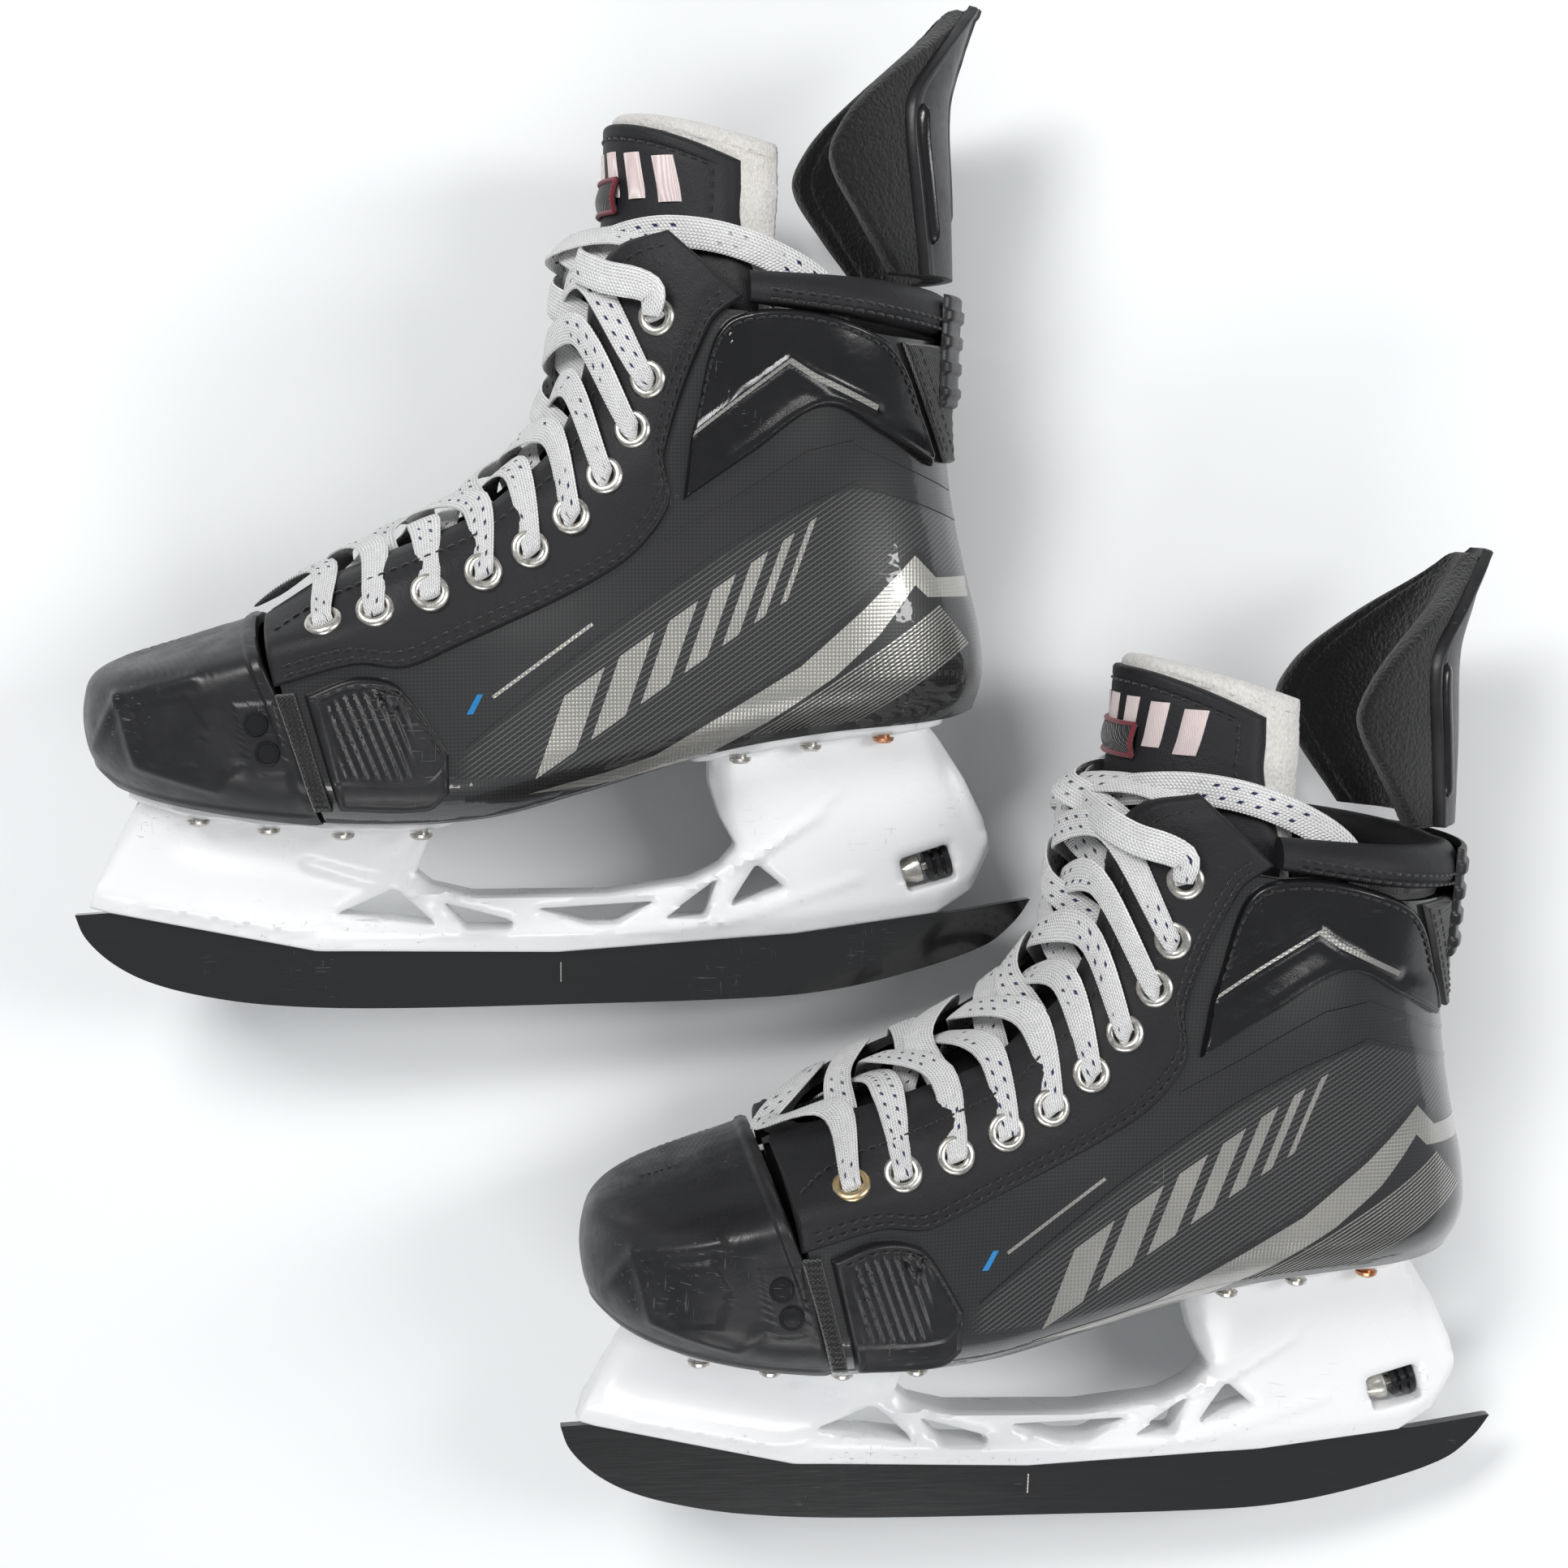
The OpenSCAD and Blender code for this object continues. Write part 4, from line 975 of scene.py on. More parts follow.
# ---- sewn panels -------------------------------------------------------------------------------
def make_eyestays():
    def lift(x, z, low_gap, high_gap, end_gap):
        dimple = sum(-0.45 * np.exp(-((x - e[0]) ** 2 + (z - e[1]) ** 2) / 42) for e in EYELETS)
        rolls = groove(low_gap, 2.4) + groove(low_gap, 5.0, 0.25) + groove(high_gap, 4.6)
        return dimple + rolls + 0.5 * smooth(np.minimum(low_gap, high_gap) / 9)
    share = np.linspace(0.012, 0.985, 150)
    shapes, rows = [], []
    for side in BOTH:
        shapes.append(panel(side, EYESTAY_SEAM, THROAT, 24, 205, radius=1.5, lift=lift))
        rows.append(stitch_on(side, inset(EYESTAY_SEAM, THROAT, share, from_low=2.4), 2.35))
        rows.append(stitch_on(side, inset(EYESTAY_SEAM, THROAT, share, from_low=5.0), 2.5))
        rows.append(stitch_on(side, inset(EYESTAY_SEAM, THROAT, share, from_high=4.6), 2.45))
    add("eyestays", join(shapes), "leather", ["eyestays"])
    add("eyestay_stitches", join(rows), "thread")


def make_toe_band():
    ribs = lambda x, z, low, high, end: 0.18 * np.sin(z * 2 * np.pi / 1.6)
    shapes = [panel(side, BAND_FRONT, BAND_REAR, 5.3, 34, radius=0.8, step=0.5, lift=ribs)
              for side in BOTH]
    add("toe_band", join(shapes), "webbing", ["toe_band"])
    share = np.linspace(0.04, 0.96, 40)
    rows = [stitch_on(side, inset(BAND_FRONT, BAND_REAR, share, from_low=gap), 2.35, pitch=2.8,
                      length=1.9, radius=0.3) for side in BOTH for gap in (1.3, 4.0)]
    add("toe_band_stitches", join(rows), "thread")


def make_overlays():
    notch = np.array([[-55, 101], [-47.5, 99], [-50, 92.5]])

    def lift(x, z, low_gap, high_gap, end_gap):
        field = smooth((low_gap - 10) / 1.5) * smooth((high_gap - 3.5) / 1.2)
        field = field * smooth((end_gap - 3) / 1.2) * (1 - smooth((x + 47) / 3))
        ribs = 0.45 * np.sin((x * 0.93 + z * 0.36) * 2 * np.pi / 2.7)
        rim = 0.45 * (1 - smooth((np.minimum(np.minimum(low_gap, high_gap), end_gap) - 1.8) / 0.8))
        step = 0.5 * smooth((9.5 - low_gap) / 0.8)
        flat = np.stack([x.ravel(), z.ravel()], 1)
        triangle = -0.7 * smooth(1 - distance(flat, notch) / 0.8).reshape(x.shape)
        return field * ribs + rim + step + triangle
    shapes = [panel(side, OVERLAY_LOW, OVERLAY_HIGH, 33, 34, radius=1.2, step=0.55, lift=lift)
              for side in BOTH]
    add("side_overlays", join(shapes), "cap", ["side_overlays"], sharp=60)
    share = np.linspace(0.04, 0.96, 60)
    rows = [stitch_on(side, inset(OVERLAY_LOW, OVERLAY_HIGH, share, from_high=2.6), 2.6)
            for side in BOTH]
    add("overlay_stitches", join(rows), "thread")


CHEVRON = np.array([[33.5, 170.5], [45, 179.5], [59.5, 190.5], [66, 186.5], [85, 178]])


def make_ankle_panels():
    def lift(x, z, low_gap, high_gap, end_gap):
        flat = np.stack([x.ravel(), z.ravel()], 1)
        from_line = distance(flat, CHEVRON, False).reshape(x.shape)
        above = z - np.interp(x, CHEVRON[:, 0], CHEVRON[:, 1])
        ribs = 0.28 * np.sin((x * 0.55 - z * 0.83) * 2 * np.pi / 1.9)
        field = smooth((above - 2) / 1.5) * smooth((62 - x) / 3) * smooth((high_gap - 2) / 1.0)
        dome = 1.0 * smooth(-above / 6) * smooth(low_gap / 7)
        rim = 0.35 * (1 - smooth((np.minimum(low_gap, high_gap) - 1.6) / 0.8))
        return field * ribs + dome + rim + 1.1 * np.exp(-((from_line / 1.5) ** 2))
    shapes = [panel(side, ANKLE_LOW, ANKLE_HIGH, 25, 82, radius=1.3, step=0.75, lift=lift)
              for side in BOTH]
    add("ankle_panels", join(shapes), "gloss", ["ankle_panels"], sharp=60)
    offset = np.array([0.25, 0.75])
    lines = [strip(side, CHEVRON - offset, CHEVRON + offset, d=3.62, step=0.8, deep=2.6)
             for side in BOTH]
    add("ankle_chevrons", join(lines), "foil")
    share = np.linspace(0.05, 0.97, 80)
    rows = [stitch_on(side, inset(ANKLE_LOW, ANKLE_HIGH, share, from_high=2.4), 2.55)
            for side in BOTH]
    add("ankle_stitches", join(rows), "thread")


def wrap_point(u, z, edge_x, d):
    x = mix(back(z, d), edge_x, np.abs(u) ** 1.9)
    return surf(np.where(u < 0, -1, 1), x, z, d)


def make_heel_panel():
    u = np.linspace(-1, 1, 121)[None]
    z = mix(163.0, 196.5, ladder(33.5, 1.2, 1.0))[:, None]
    edge = mix(110, 92, (z - 163) / 35)
    gap = np.minimum(np.minimum(z - 163, 196.5 - z), (1 - np.abs(u)) * 22)
    d = mix(-0.2, PANEL_TOP, rounded(gap, 1.0)) + 0.12 * np.sin(z * np.pi * 1.1)
    shape = slab(wrap_point(u, z, edge, d), wrap_point(u, z, edge, -0.6 + 0 * gap))
    add("heel_panel", shape, "webbing", ["heel_panel"])
    rows = []
    zs = np.linspace(165, 195, 60)
    for side in BOTH:
        for gap in (2.0, 5.0):
            x = mix(110, 92, (zs - 163) / 35) + gap
            rows.append(stitches(surf(side, x, zs, PANEL_TOP), out_dir(side, x, zs)))
    add("heel_stitches", join(rows), "thread")


def make_collar():
    u = np.linspace(-1, 1, 121)
    a = np.linspace(0, 2 * np.pi, 29)[:-1]
    low = 198.5 + 8 * u**2
    high = 210.5 + 5 * np.abs(u)
    mid_z, tall = (low + high) / 2, (high - low) / 2
    z = mid_z[:, None] + tall[:, None] * np.sign(np.sin(a)) * np.abs(np.sin(a)) ** 0.8
    t = clamp((z - low[:, None]) / (2 * tall[:, None]))
    outside, within = 2.2 - 2.4 * t**3, -7 + 1.8 * t**3
    d = mix(within, outside, (1 + np.sign(np.cos(a)) * np.abs(np.cos(a)) ** 0.7) / 2)
    points = wrap_point(u[:, None] + 0 * z, z, 49, d)
    faces = grid_faces(len(u), len(a), True)
    faces += [tuple(range(len(a))), tuple((len(u) - 1) * len(a) + k for k in range(len(a)))]
    add("collar", Shape(points, faces), "leather", ["collar"],
        sharp=70)
    rows = []
    for lift in (1.6, 4.2):
        uu = np.linspace(-0.97, 0.97, 160)
        zz = 198.5 + 8 * uu**2 + lift
        path = wrap_point(uu, zz, 49, 2.25 + 0 * uu)
        rows.append(stitches(path, unit(path - [70, 0, 205])))
    add("collar_stitches", join(rows), "thread")


# ---- toe cap -----------------------------------------------------------------------------------
CAP_RIDGE = curve([[-131, 69.5], [-137, 76.5], [-139.5, 86], [-139, 95], [-136.5, 101],
                   [-130, 105], [-108, 112], [-89, 118]])
CAP_REAR = curve([[-70, 63.5], [-74, 78], [-79, 93]])
PLUGS = [[-87, 91], [-84, 83]]


def cap_grid(n, m, d):
    u = np.linspace(-1, 1, 2 * n + 1)[None]
    v = np.linspace(0, 1, m + 1)
    at = clamp(v - 0.01) + 0.005
    way = unit(along(CAP_RIDGE, at + 0.01) - along(CAP_RIDGE, at - 0.01))
    r = along(CAP_RIDGE, v) + d * np.stack([-way[:, 1], way[:, 0]], 1)
    q = along(CAP_REAR, v)
    w = np.abs(u)[..., None] ** 1.9
    p = mix(r[:, None], q[:, None], w)
    z = p[..., 1] + (1 - v[:, None]) ** 3 * np.abs(u) * (sole(p[..., 0]) - p[..., 1])
    points = surf(np.where(u < 0, -1, 1), p[..., 0], z, d)
    points[:, n] = np.stack([r[:, 0], centre(r[:, 0]), r[:, 1]], 1)
    return points, np.abs(u) + 0 * v[:, None], v[:, None] + 0 * u


def raised(points, height):
    """A grid of points moved along its own normals, away from the middle of the boot."""
    normal = unit(np.cross(np.gradient(points, axis=0), np.gradient(points, axis=1)))
    outward = points - [-70, 3, 85]
    normal *= np.sign(np.sum(normal * outward, -1, keepdims=True))
    return points + normal * height[..., None]


def make_toe_cap():
    outer, u, v = cap_grid(70, 110, 0.0)
    x, z = outer[..., 0], outer[..., 2]
    flat = np.stack([x.ravel(), z.ravel()], 1)
    near = lambda line, width: np.exp(-(distance(flat, np.array(line, float), False)
                                        .reshape(x.shape) / width) ** 2)
    rear_gap = (x - np.interp(z, [63, 78, 93, 118], [-70, -74, -79, -89])) * -1
    height = 0.9 * smooth((4.5 - rear_gap) / 1.0) * (z > 66)
    height = height + 0.8 * near([[-136, 78], [-126, 97], [-104, 103]], 1.6) * (u > 0.25)
    height = height + 0.7 * near([[-126, 97], [-121, 78], [-98, 72], [-92, 79]], 1.5) * (u > 0.3)
    facet = inside(flat, np.array([[-122, 94], [-106, 98], [-101, 90], [-103, 80], [-117, 78]],
                                  float)).reshape(x.shape)
    height = height - 0.5 * facet
    plateau = inside(flat, np.array([[-93, 96], [-82, 97], [-78, 78], [-89, 77]],
                                    float)).reshape(x.shape)
    height = height + 0.6 * plateau
    knurl = smooth((z - 103) / 2) * smooth((x + 131) / 3) * smooth((-97 - x) / 3)
    height = height + knurl * 0.22 * np.sin((x + outer[..., 1] * 0.3) * 2 * np.pi / 1.9)
    height = height + 0.6 * smooth((sole(x) + 3.5 - z) / 1.2)
    edge = smooth(np.minimum(1 - u, 1 - v) / 0.02)
    inner, _, _ = cap_grid(70, 110, -2.5)
    add("toe_cap", slab(raised(outer, height * edge), inner), "cap", ["toe_cap"],
        sharp=60)
    button = lathe([[0.01, 0], [3.4, 0], [3.4, 0.7], [3.15, 1.0], [2.75, 1.0], [2.55, 0.75],
                    [0.01, 0.85]], 40)
    plugs = [on_surface(button, side, p[0], p[1], 0.45) for side in BOTH for p in PLUGS]
    add("toe_plugs", join(plugs), "gloss", ["toe_plugs"])


# ---- eyelets -----------------------------------------------------------------------------------
def make_eyelets():
    a = np.linspace(0, np.pi, 9)
    rim = [[4.05 + 1.45 * math.cos(k), 2.6 + 1.25 * math.sin(k)] for k in a]
    profile = [[5.5, 2.2]] + rim + [[2.8, 2.2], [2.75, -1.0], [3.0, -1.0], [3.2, 2.0]]
    grommet = lathe(profile, 40)
    # a thin disc of the dark lining cloth closes each eyelet: painted shade for the depth of the
    # hole
    dark = lathe([[0.01, 0.4], [2.8, 0.4], [2.8, 0.7], [0.01, 0.7]], 20)
    worn = (1, 0)       # the right skate's toe-most eyelet on its inner side is worn to the brass
    places = [(side, k) for side in BOTH for k in range(len(EYELETS))]
    stand_at = lambda shape, side, k: on_surface(shape, side, *EYELETS[k])
    plain = [stand_at(grommet, *p) for p in places if p != worn]
    left, right = SKATES
    add("eyelets", join(plain + [stand_at(grommet, *worn)]), "nickel", ["eyelets"],
        skates=[left], sharp=60)
    add("eyelets", join(plain), "nickel", ["eyelets"], skates=[right], sharp=60)
    add("worn_eyelet", stand_at(grommet, *worn), "brass", skates=[right], sharp=60)
    # the discs that paint shade into the eyelet holes
    add("eyelet_hole_shade", join([stand_at(dark, *p) for p in places]), "lining")


# ---- tongue ------------------------------------------------------------------------------------
TONGUE_BEND = ((10, 0, 222), (10, 0, 242))


def tongue_d(z):
    return mix(-9.4, -10, smooth((z - 170) / 50))


def tongue_point(u, z, d):
    dd = tongue_d(z) + d
    reach = mix(24, 42, smooth((z - 120) / 60))
    return surf(np.where(u < 0, -1, 1), front(z, dd) + reach * np.abs(u) ** 1.9, z, dd)


def tongue_grid(top, droop, pull, step, d_of):
    """A leaf of the tongue: d_of(u, z, gap) is its distance from the tongue's own surface."""
    j = np.linspace(-1, 1, 97)[None]
    i = np.concatenate([np.linspace(0, 0.97, step), 0.97 + 0.03 * ladder(1, 0.2, 0.3)[1:]])[:, None]
    z = mix(121.0, top - droop * np.abs(j) ** 2.5, i)
    u = j * mix(1.0, pull, smooth((z - 205) / 30))
    gap = np.minimum((1 - np.abs(j)) * 45, (1 - i) * (top - 121))
    return tongue_point(u, z, d_of(u, z, gap))


def make_tongue():
    face_out = lambda u, z, gap: mix(-1.3, 0.0, rounded(gap, 1.3)) + groove(gap, 4.2, 0.3)
    face_in = lambda u, z, gap: -2.3 + 0 * gap
    face = slab(tongue_grid(259, 12, 0.90, 100, face_out), tongue_grid(259, 12, 0.90, 100, face_in))
    add("tongue_face", face, "leather", ["tongue_lower", "tongue_upper"],
        body="tongue", bend=TONGUE_BEND)
    fuzz = random.normal(0, 1, 4000)

    def felt_out(u, z, gap):
        return mix(-5.0, -2.5, rounded(gap, 2.6)) + 0.10 * np.resize(fuzz, gap.shape)

    def felt_in(u, z, gap):
        return mix(-5.2, -8.2, rounded(gap, 2.6)) + 0.14 * np.resize(fuzz, gap.shape)
    felt = slab(tongue_grid(262, 10, 1.0, 120, felt_out), tongue_grid(262, 10, 1.0, 120, felt_in))
    add("tongue_felt", felt, "white_felt", ["tongue_felt_lower", "tongue_felt_upper"],
        body="tongue", bend=TONGUE_BEND, sharp=80)
    j = np.linspace(-0.91, 0.91, 200)
    top_row = tongue_point(j * 0.90, 259 - 12 * np.abs(j) ** 2.5 - 4.2, 0.0 * j)
    rows = [stitches(top_row, unit(top_row - [45, 0, 235]))]
    for side in BOTH:
        z = np.linspace(224, 246, 40)
        edge = tongue_point(side * 0.905 * mix(1, 0.90, smooth((z - 205) / 30)), z, 0 * z)
        rows.append(stitches(edge, unit(edge - [45, 0, 235])))
    add("tongue_stitches", join(rows), "thread", body="tongue",
        bend=TONGUE_BEND)
    badge = []
    for k in range(-3, 4):
        u0 = k * 0.2
        a = np.linspace(0, 1, 9)[:, None]
        w = np.linspace(0, 1, 7)[None]
        z = mix(238.0, 251.0, a) - 2.5 * abs(k / 3) ** 2 + 0 * w
        u = u0 + 0.05 * (a - 0.5) + mix(-0.06, 0.06, w)
        rise = 0.55 * rounded(np.minimum(w, 1 - w) + 0 * a, 0.35)
        out = tongue_point(u, z, rise)
        badge.append(slab(out, tongue_point(u, z, -0.4 + 0 * rise)))
    add("tongue_badge", join(badge), "badge", body="tongue")


def make_loop():
    z = np.linspace(233.5, 243.0, 14)[:, None]
    u = np.linspace(-0.28, 0.28, 15)[None]
    bow = 1.6 * np.sin(np.pi * (z - 233.5) / 9.5) + 0.6
    out = tongue_point(u + 0 * z, z + 0 * u, bow + 0 * u)
    inner = tongue_point(u + 0 * z, z + 0 * u, bow - 1.0 + 0 * u)
    add("lace_loop", slab(out, inner), "webbing", ["lace_loop"], body="tongue")
    edges = []
    for zz in (233.7, 242.8):
        edges.append(sweep(tongue_point(np.linspace(-0.28, 0.28, 20), zz + np.zeros(20),
                                        1.0 + np.zeros(20)), ring(0.75, 8)))
    for uu in (-0.28, 0.28):
        zs = np.linspace(233.7, 242.8, 16)
        edges.append(sweep(tongue_point(uu + 0 * zs, zs, 1.0 + 1.3 * np.sin(
            np.pi * (zs - 233.5) / 9.5)), ring(0.75, 8)))
    add("lace_loop_edges", join(edges), "red", body="tongue")


# ---- lace --------------------------------------------------------------------------------------
LACE_WIDE, LACE_THICK = 9.0, 1.3
LACE_OVER, LACE_UNDER, EDGE_OVER = 4.6, -4.4, 3.6
TOP = len(EYELETS) - 1


def lace_section():
    a = np.arange(12) * 2 * np.pi / 12
    power = lambda v, e: np.sign(v) * np.abs(v) ** e
    return np.stack([LACE_WIDE / 2 * power(np.cos(a), 0.55),
                     LACE_THICK / 2 * power(np.sin(a), 0.75)], 1)


def edge_share(i):
    return (i + 1.35) / (len(EYELETS) + 0.9)


def throat_way(share):
    way = unit(along(THROAT, share + 0.02) - along(THROAT, share - 0.02))
    return np.array([way[0], 0, way[1]])


def at_edge(side, i, d):
    p = along(THROAT, edge_share(i))
    return off(side, p[0], p[1], d), throat_way(edge_share(i)), 1.0


def at_eyelet(side, i, d):
    return off(side, *EYELETS[i], d), throat_way(edge_share(i)), 0.62


def middle(i, d):
    share = (edge_share(i) + edge_share(i + 1)) / 2
    z = along(THROAT, share)[1] + 3
    return np.array([front(z, d), 0, z]), throat_way(share), 1.0


def crossing(side, i, d):
    start = [at_eyelet(side, i, LACE_UNDER), at_edge(side, i, LACE_UNDER - 0.6), middle(i, d)]
    if i == TOP - 1:
        return start + [at_edge(-side, i + 1, LACE_UNDER - 0.6),
                        at_eyelet(-side, i + 1, LACE_UNDER),
                        at_eyelet(-side, i + 1, LACE_OVER)]
    return start + [at_edge(-side, i + 1, EDGE_OVER), at_eyelet(-side, i + 1, LACE_OVER)]


def lacing(first, d):
    return [p for i in range(TOP) for p in crossing(first if i % 2 == 0 else -first, i, d)]


def between(values, at):
    """Rows of values, one for each stop, read at places between the stops."""
    values = np.array(values)
    return np.stack([np.interp(at, range(len(values)), values[:, k]) for k in range(3)], 1)


def ribbon(stops, per_span=7):
    """A flat lace through (point, width direction, share of full width) stops."""
    points = np.array([s[0] for s in stops])
    path = smooth_path(points, per_span)
    at = np.linspace(0, len(stops) - 1, len(path))
    across = between([s[1] for s in stops], at)
    wide = np.interp(at, range(len(stops)), [s[2] for s in stops])
    wide = wide * (1 + 0.05 * np.sin(at * 2.1) + 0.03 * np.sin(at * 5.3))
    return path, sweep(path, lace_section(), across, np.stack([wide, wide**-0.6], 1))


END_OVER = [[25, 209, 7.5], [14, 213, 7.5], [7, 217, 5.5]]
END_INSIDE = [[10, 226, -7], [24, 227.5, -7.4], [42, 226, -8], [58, 221, -9], [70, 214, -11],
              [77, 204, -13.5], [80, 190, -14], [80, 175, -13], [78, 160, -12], [72, 148, -12],
              [62, 144, -12], [56, 152, -12], [56, 166, -13], [60, 180, -14], [64, 190, -14]]
AGLET_LONG = 20


def end_stops(side, lift):
    """The free end's points and the outward direction at each, as in the CAD source."""
    face_x = tongue_point(np.array(0.0), np.array(221.0), 0.0)[0]
    stops = [(off(side, *EYELETS[TOP], 6.2), out_dir(side, *EYELETS[TOP]))]
    stops += [(off(side, *p), out_dir(side, p[0], p[1])) for p in END_OVER]
    stops += [(np.array([face_x - lift, 0, 221]), np.array([-1.0, 0, 0.15]))]
    stops += [(off(-side, *p), out_dir(-side, p[0], p[1])) for p in END_INSIDE]
    return stops


def make_laces():
    bar_z = 122.5
    bar = [at_edge(-1, 0, EDGE_OVER), (np.array([front(bar_z, 2.5), 1, bar_z]),
                                       throat_way(edge_share(0)), 1.0), at_edge(1, 0, EDGE_OVER)]
    route = (lacing(-1, -1.6)[::-1] + [at_eyelet(-1, 0, LACE_OVER)] + bar
             + [at_eyelet(1, 0, LACE_OVER)] + lacing(1, 2.4))
    _, shape = ribbon(route)
    add("lace", shape, "lace", ["lace"], sharp=80)
    for name, side, lift in (("a", -1, 2.2), ("b", 1, 7)):
        stops = end_stops(side, lift)
        points = np.array([s[0] for s in stops])
        path = smooth_path(points, 6)
        at = np.linspace(0, len(stops) - 1, len(path))
        normal = between([s[1] for s in stops], at)
        heading = unit(np.gradient(path, axis=0))
        across = np.cross(unit(normal), heading)
        wide = np.interp(at, [0, 0.5, 1.5, len(stops) - 2, len(stops) - 1], [0.62, 0.8, 1, 1, 0.45])
        shape = sweep(path, lace_section(), across, np.stack([wide, wide**-0.6], 1))
        way = unit(path[-1] - path[-2])
        aglet = stand(lathe([[0.01, -1.5], [1.5, -1.5], [1.75, -0.8], [1.75, AGLET_LONG - 1],
                             [1.3, AGLET_LONG], [0.01, AGLET_LONG]], 20), path[-1], way)
        ends = add(f"lace_end_{name}", shape, "lace", ["lace_ends"], sharp=80)
        tips = add(f"aglet_{name}", aglet, "gloss")
        for skate, piece, tip in zip(SKATES, ends, tips):
            line = skate.place(path)


# ---- tendon guard ------------------------------------------------------------------------------
SPINE = [[182, 113.5], [216, 113], [240, 112], [266, 111], [280, 114.5], [296, 120]]
GUARD_HALF = [[215, 36], [250, 37.5], [275, 34], [290, 26], [296, 22]]
SHELL_REACH = [[216, 46], [262, 52], [278, 40], [290, 24], [296, 12]]
PAD_REACH = [[216, 58], [232, 76], [247, 88], [259, 80], [271, 63], [280, 48], [290, 26],
             [295, 14]]
GUARD_FOOT, GUARD_TOP, GUARD_DEEP = 216.5, 296, 40


def guard_point(g, z, d):
    g = np.radians(g)
    return np.stack(np.broadcast_arrays(
        spline(SPINE, z) + d - (GUARD_DEEP + d) * (1 - np.cos(g)),
        (spline(GUARD_HALF, z) + d) * np.sin(g), z), -1)


def guard_grid(reach, top_z, d_of, n=48, m=80):
    z = mix(GUARD_FOOT, top_z, np.concatenate([np.linspace(0, 0.985, m), [0.993, 1.0]]))[:, None]
    j = np.sin(np.linspace(-np.pi / 2, np.pi / 2, 2 * n + 1))[None]
    g = j * spline(reach, z)
    gap = np.minimum((1 - np.abs(j)) * np.radians(spline(reach, z)) * GUARD_DEEP, top_z - z)
    return guard_point(g, z, d_of(g, z, gap))


def make_guard():
    def outside(g, z, gap):
        lip = 0.8 * (1 - smooth((gap - 3) / 1.0))
        spine = 0.9 * smooth((6.5 - np.abs(g)) / 1.5) * smooth((z - 232) / 4)
        return mix(0.1, 2.4, rounded(gap, 1.4)) + lip * smooth(gap / 1.2) * 0.8 + spine
    shape = slab(guard_grid(SHELL_REACH, GUARD_TOP, outside),
                 guard_grid(SHELL_REACH, GUARD_TOP, lambda g, z, gap: -0.1 + 0 * gap))
    add("tendon_guard", shape, "plastic", ["tendon_guard"], body="guard", sharp=60)
    z = np.linspace(225, 264, 40)
    rails = [sweep(guard_point(side * (spline(SHELL_REACH, z) - 5.5), z, 3.0), ring(2.3, 12, 0.55),
                   scale=np.stack([rounded(np.minimum(z - 225, 264 - z), 4) + 0.05] * 2, 1))
             for side in BOTH]
    add("guard_rails", join(rails), "gloss", body="guard")
    fuzz = random.normal(0, 1, 5000)

    def pad_out(g, z, gap):
        return mix(-2.6, -0.2, rounded(gap, 2.4)) + 0.07 * np.resize(fuzz, gap.shape)

    def pad_in(g, z, gap):
        channel = groove(gap, 6, -0.5, 1.0) - 0.7 * np.exp(-(((gap - 9) / 5) ** 2))
        return mix(-3.4, -6.6, rounded(gap, 3.2)) + 0.10 * np.resize(fuzz, gap.shape) + channel
    pad = slab(guard_grid(PAD_REACH, GUARD_TOP - 1.5, pad_out, 60, 100),
               guard_grid(PAD_REACH, GUARD_TOP - 1.5, pad_in, 60, 100))
    add("tendon_pad", pad, "black_felt", ["tendon_pad"], body="guard",
        sharp=80)


def make_guard_base():
    z = mix(179.0, 211.0, ladder(32, 0.45, 1.2))[:, None]
    u = np.linspace(-1, 1, 61)[None]
    wave = 0.9 * smooth(np.sin((z - 181) * 2 * np.pi / 7.4) * 1.5 + 0.3) * smooth(np.minimum(
        z - 181, 209 - z) / 1.5)
    gap = np.minimum(np.minimum(z - 179, 211 - z), (1 - np.abs(u)) * 14)
    d = mix(2.4, 3.9, rounded(gap, 1.2)) + wave
    point = lambda d: surf(np.where(u < 0, -1, 1), back(z, d) - 9 * u**2, z, d)
    add("guard_base", slab(point(d), point(2.3 + 0 * d)), "plastic",
        ["guard_base"], sharp=60)


# ---- holder ------------------------------------------------------------------------------------
KEEL_LOW = [[-139, 33], [-134, 31.5], [-74, 18.5], [-3, 16.5], [69, 20.5], [113, 26], [124, 33],
            [129.5, 45]]
WINDOWS = [[[-68, 30], [-51, 37], [-39, 26]], [[-37, 32.5], [-16, 26.5], [-17, 24.4], [-30, 24.4]],
           [[-9, 30], [26, 31.5], [15, 25], [6, 25]], [[45, 38], [29, 26.3], [42, 26.3]],
           [[57, 42.5], [66, 35], [49, 29.5]]]
LOCK_WINDOW = [[101, 43], [116, 47.5], [119, 37], [104, 33]]
KEEL_W = 13
FLANGE_T, FLANGE_GAP = 3.2, 0.2
TANG_FROM, TANG_TO = -124, 112
HOOKS = ((-118, -106, 40), (86, 97, 42))
TANG_H = 5.4


def keel(x):
    return np.interp(x, *np.array(KEEL_LOW, float).T)


def flange_half(x):
    return 0.84 * half(x, sole(x) + 0.5, 0)


def rounded_corners(points, radius, steps=5):
    """A loop with its corners rounded."""
    p = np.asarray(points, float)
    out = []
    for k in range(len(p)):
        a, b, c = p[k - 1], p[k], p[(k + 1) % len(p)]
        r = min(radius, 0.45 * np.linalg.norm(a - b), 0.45 * np.linalg.norm(c - b))
        start, stop = b + unit(a - b) * r, b + unit(c - b) * r
        for t in np.linspace(0, 1, steps):
            out.append((1 - t) ** 2 * start + 2 * t * (1 - t) * b + t**2 * stop)
    return np.array(out)


